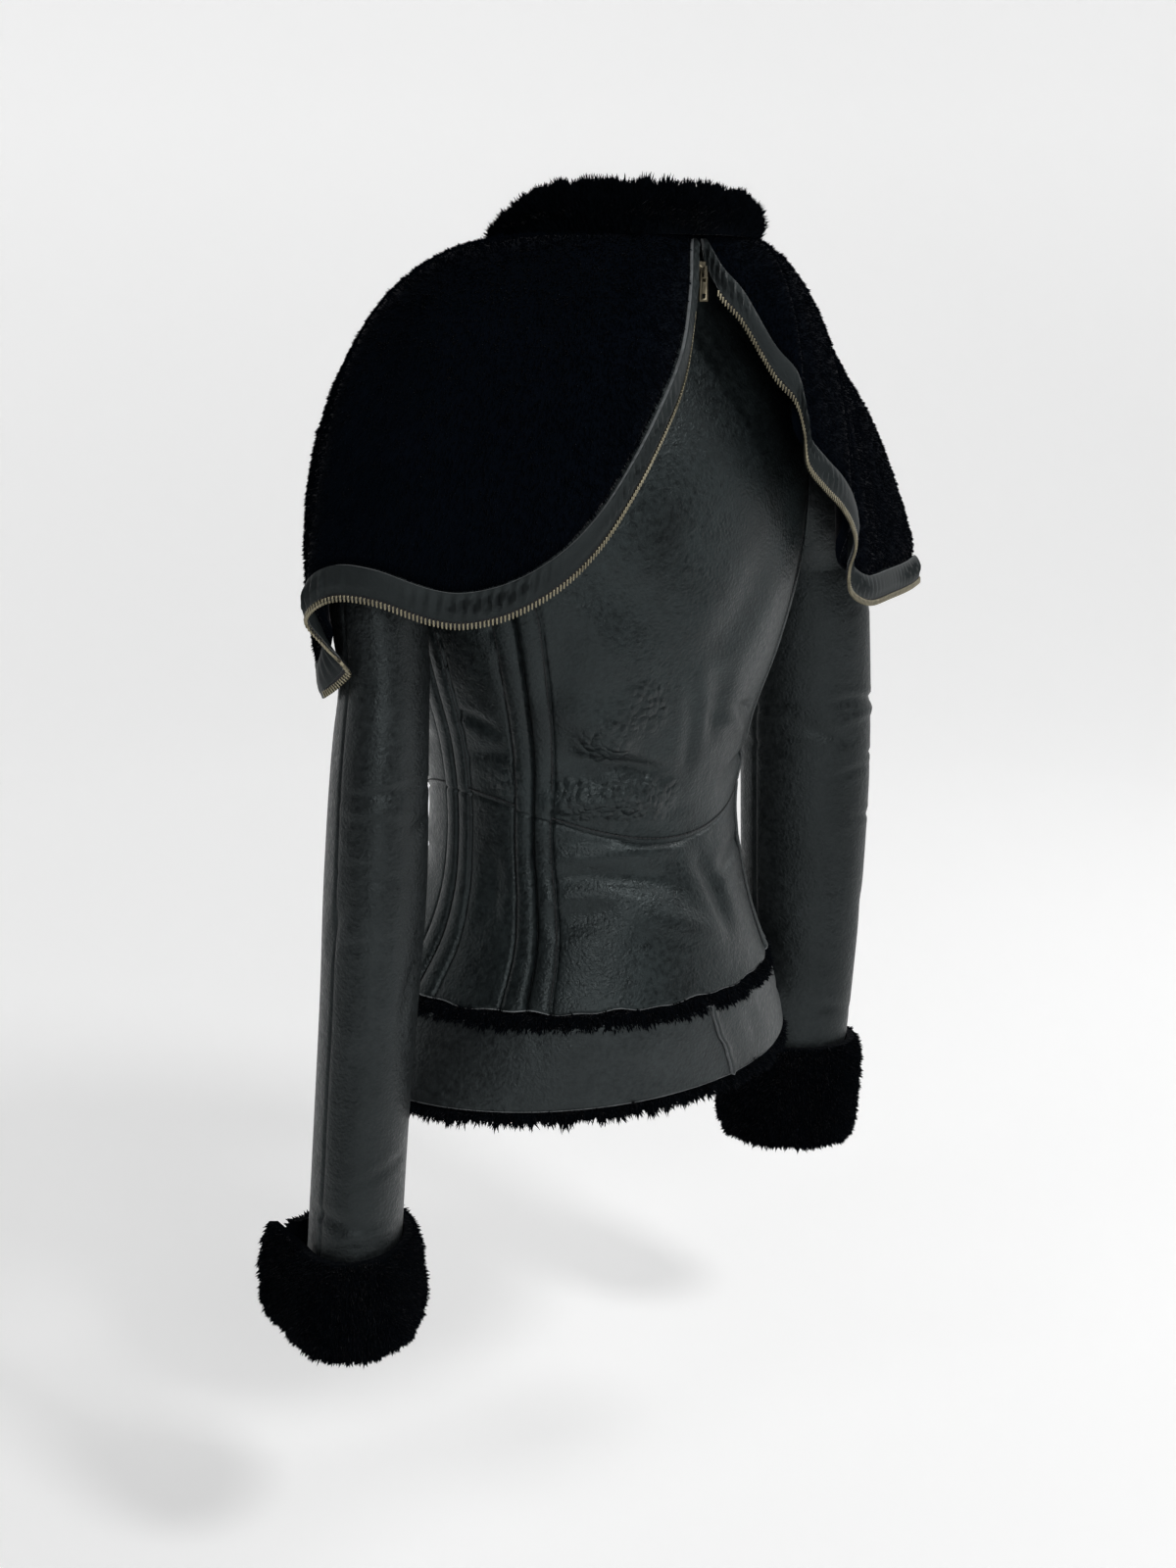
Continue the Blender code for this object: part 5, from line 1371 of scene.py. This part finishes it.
def seam_stitches():
    """Stitches beside the welts, and above the waist seam where it is clear of them."""
    spots = []
    frames = []
    offset = arc_turn(WELT_WIDTH - STITCH_INSET)

    def add(turn, z):
        outs = body_normal(turn, z)
        height = creased(BODY_CREASES, turn, z, TURN_MM) + STITCH_RISE
        where, how = stitch_run(lifted(body_point(turn, z), outs, height), outs)
        spots.extend(where)
        frames.extend(how)

    for side in (-1.0, 1.0):
        for seam, top_z, seam_turn in ((PRINCESS, PRINCESS_END_Z - 4.0, princess_turn),
                                       (SIDE_SEAM, SIDE_STITCH_TOP_Z, front_edge_turn)):
            for shift in (-offset, offset):
                z = np.linspace(waist_z(seam) + 2.0, top_z, 120)
                add(side * (seam_turn(z) + shift), z)
                z = np.linspace(BODY_EDGE_Z + 3.0, waist_z(seam) - 2.0, 60)
                fall = (waist_z(seam) - z) / (waist_z(seam) - BODY_EDGE_Z)
                drift = PRINCESS_DRIFT * fall**2 * math.exp(-((seam - PRINCESS) / DRIFT_SPREAD) ** 2)
                add(side * (seam + shift - drift), z)
    turn = np.linspace(-179.0, 179.0, 900)
    away = np.minimum(np.abs(np.abs(turn) - PRINCESS), np.abs(np.abs(turn) - SIDE_SEAM))
    clear = away > arc_turn(WELT_WIDTH) * 0.9
    cuts = np.flatnonzero(np.diff(clear.astype(int))) + 1
    for run in np.split(np.arange(len(turn)), cuts):
        if clear[run[0]] and len(run) > 8:
            add(turn[run], waist_z(turn[run]) + STITCH_CLEAR)
    set_on_points("seam_stitches", spots, frames, ONE_STITCH, THREAD)


def hardware():
    """The slider and its pull, with the softened edges of a casting."""
    for name, body in (("zip_slider", "coat"), ("zip_pull", "pull")):
        mesh = bpy.data.objects[name].data.copy()
        bm = bmesh.new()
        bm.from_mesh(mesh)
        bm.transform(bpy.data.objects[name].matrix_world)
        bmesh.ops.remove_doubles(bm, verts=bm.verts[:], dist=1e-6)
        bmesh.ops.dissolve_limit(bm, angle_limit=math.radians(2), verts=bm.verts[:], edges=bm.edges[:])
        sharp = [edge for edge in bm.edges if edge.is_manifold and edge.calc_face_angle() > math.radians(50)]
        bmesh.ops.bevel(bm, geom=sharp, offset=CAST_BEVEL * MM, segments=2, affect="EDGES",
                        clamp_overlap=True)
        bmesh.ops.recalc_face_normals(bm, faces=bm.faces[:])
        bm.to_mesh(mesh)
        bm.free()
        mesh.materials.clear()
        mesh.materials.append(SLIDER_BRASS)
        mesh.shade_smooth()
        mesh.set_sharp_from_angle(angle=math.radians(35))
        dress(put_in(f"{name}_cast", mesh), name, body)


# ------------------------------------------------------------------- the studio
SWEEP_RADIUS = 2.4
SWEEP_FILLET = 1.3
SWEEP_HEIGHT = 4.6
SWEEP_MIDDLE = math.radians(-132.0)    # the wall stands behind the jacket
SWEEP_SPREAD = math.radians(100.0)
SWEEP_SIDES = 72
LIT_POINT = (0.0, 0.0, -0.3)           # where the lights are turned
CAMERA_SPOT = (0.923, 1.026, -0.040)
CAMERA_TILT = 76.6
CAMERA_TURN = 139.11
CAMERA_LENS = 45.0                     # mm, on film 36 mm wide
FILM_WIDTH = 36.0
Softbox = namedtuple("Softbox", "name x y z size watts")
SOFTBOXES = (
    Softbox("key_softbox", -0.4, 2.2, 1.9, 0.7, 38.0),
    Softbox("fill_softbox", 1.0, 1.9, 0.2, 0.9, 13.0),
    Softbox("left_softbox", 2.2, 0.0, 1.3, 0.7, 4.0),
    Softbox("right_softbox", -2.2, 0.3, 0.9, 0.6, 12.0),
)


def studio_paper():
    """White paper sweep that glows, a painted light that is stronger up the wall than on the floor."""
    paper, tree, shader, place = new_material("studio_paper")
    height = node(tree, "ShaderNodeSeparateXYZ", {0: place}).outputs["Z"]
    wire(tree, shader, {
        "Emission Strength": ranged(tree, height, FLOOR_Z * MM, FLOOR_Z * MM + 2.0, *PAPER_GLOW),
        "Emission Color": (1.0, 1.0, 1.0, 1.0), "Base Color": linear("#e9e9e9"), "Roughness": 0.95,
        "Specular IOR Level": 0.0})
    return paper


def studio():
    """A paper sweep under and behind the jacket, and four soft lights."""
    profile = [(r, 0.0) for r in np.linspace(0.0, SWEEP_RADIUS, 10)]
    for turn in np.linspace(0.1, math.pi / 2, 16):
        profile.append((SWEEP_RADIUS + SWEEP_FILLET * math.sin(turn), SWEEP_FILLET * (1 - math.cos(turn))))
    profile += [(SWEEP_RADIUS + SWEEP_FILLET, height) for height in np.linspace(1.6, SWEEP_HEIGHT, 5)]
    points = []
    faces = []
    for radius, height in profile:
        for n in range(SWEEP_SIDES + 1):
            spread = math.pi if height == 0.0 else SWEEP_SPREAD
            angle = SWEEP_MIDDLE + spread * (2 * n / SWEEP_SIDES - 1)
            points.append((radius * math.cos(angle), radius * math.sin(angle), FLOOR_Z * MM + height))
    across = SWEEP_SIDES + 1
    for row in range(len(profile) - 1):
        for n in range(SWEEP_SIDES):
            start = row * across + n
            faces.append((start, start + 1, start + across + 1, start + across))
    mesh = bpy.data.meshes.new("paper_sweep")
    mesh.from_pydata(points, [], faces)
    mesh.shade_smooth()
    mesh.materials.append(studio_paper())
    sweep = put_in("paper_sweep", mesh)
    sweep.data.materials[0].cycles.emission_sampling = "NONE"

    world = bpy.data.worlds.new("studio_air")
    bpy.context.scene.world = world
    world.use_nodes = True
    wire(world.node_tree, world.node_tree.nodes["Background"], {
        "Color": (1.0, 1.0, 1.0, 1.0), "Strength": AIR_GLOW})

    middle = Vector(LIT_POINT)
    for box in SOFTBOXES:
        lamp = bpy.data.lights.new(box.name, "AREA")
        lamp.shape = "DISK"
        lamp.size = box.size
        lamp.energy = box.watts
        holder = put_in(box.name, lamp)
        holder.location = box[1:4]
        holder.rotation_euler = (middle - holder.location).to_track_quat("-Z", "Y").to_euler()


def camera():
    """The view from the back left."""
    lens = bpy.data.cameras.new("studio_camera")
    lens.lens = CAMERA_LENS
    lens.sensor_width = FILM_WIDTH
    made = put_in("studio_camera", lens)
    made.location = CAMERA_SPOT
    made.rotation_euler = (math.radians(CAMERA_TILT), 0.0, math.radians(CAMERA_TURN))
    bpy.context.scene.camera = made


ONE_TOOTH = small_part("one_tooth", tooth_corner, TOOTH_BEVEL)
ONE_STITCH = small_part("one_stitch", stitch_corner)
lower_panels()
upper_panels()
hem_bands()
sleeves()
collar()
cuffs()
hem_furs()
HoodHalf("left", HOOD_LEFT, TUCKS_LEFT, ZIP_LAST_RIB_LEFT, HOOD_FOLDS_LEFT).build()
HoodHalf("right", HOOD_RIGHT, TUCKS_RIGHT, ZIP_LAST_RIB_RIGHT, HOOD_FOLDS_RIGHT).build()
seam_stitches()
hardware()
for part in (ONE_TOOTH, ONE_STITCH):
    bpy.data.objects.remove(part, do_unlink=True)
studio()
camera()
bpy.context.scene.view_settings.view_transform = "Standard"
bpy.context.view_layer.update()
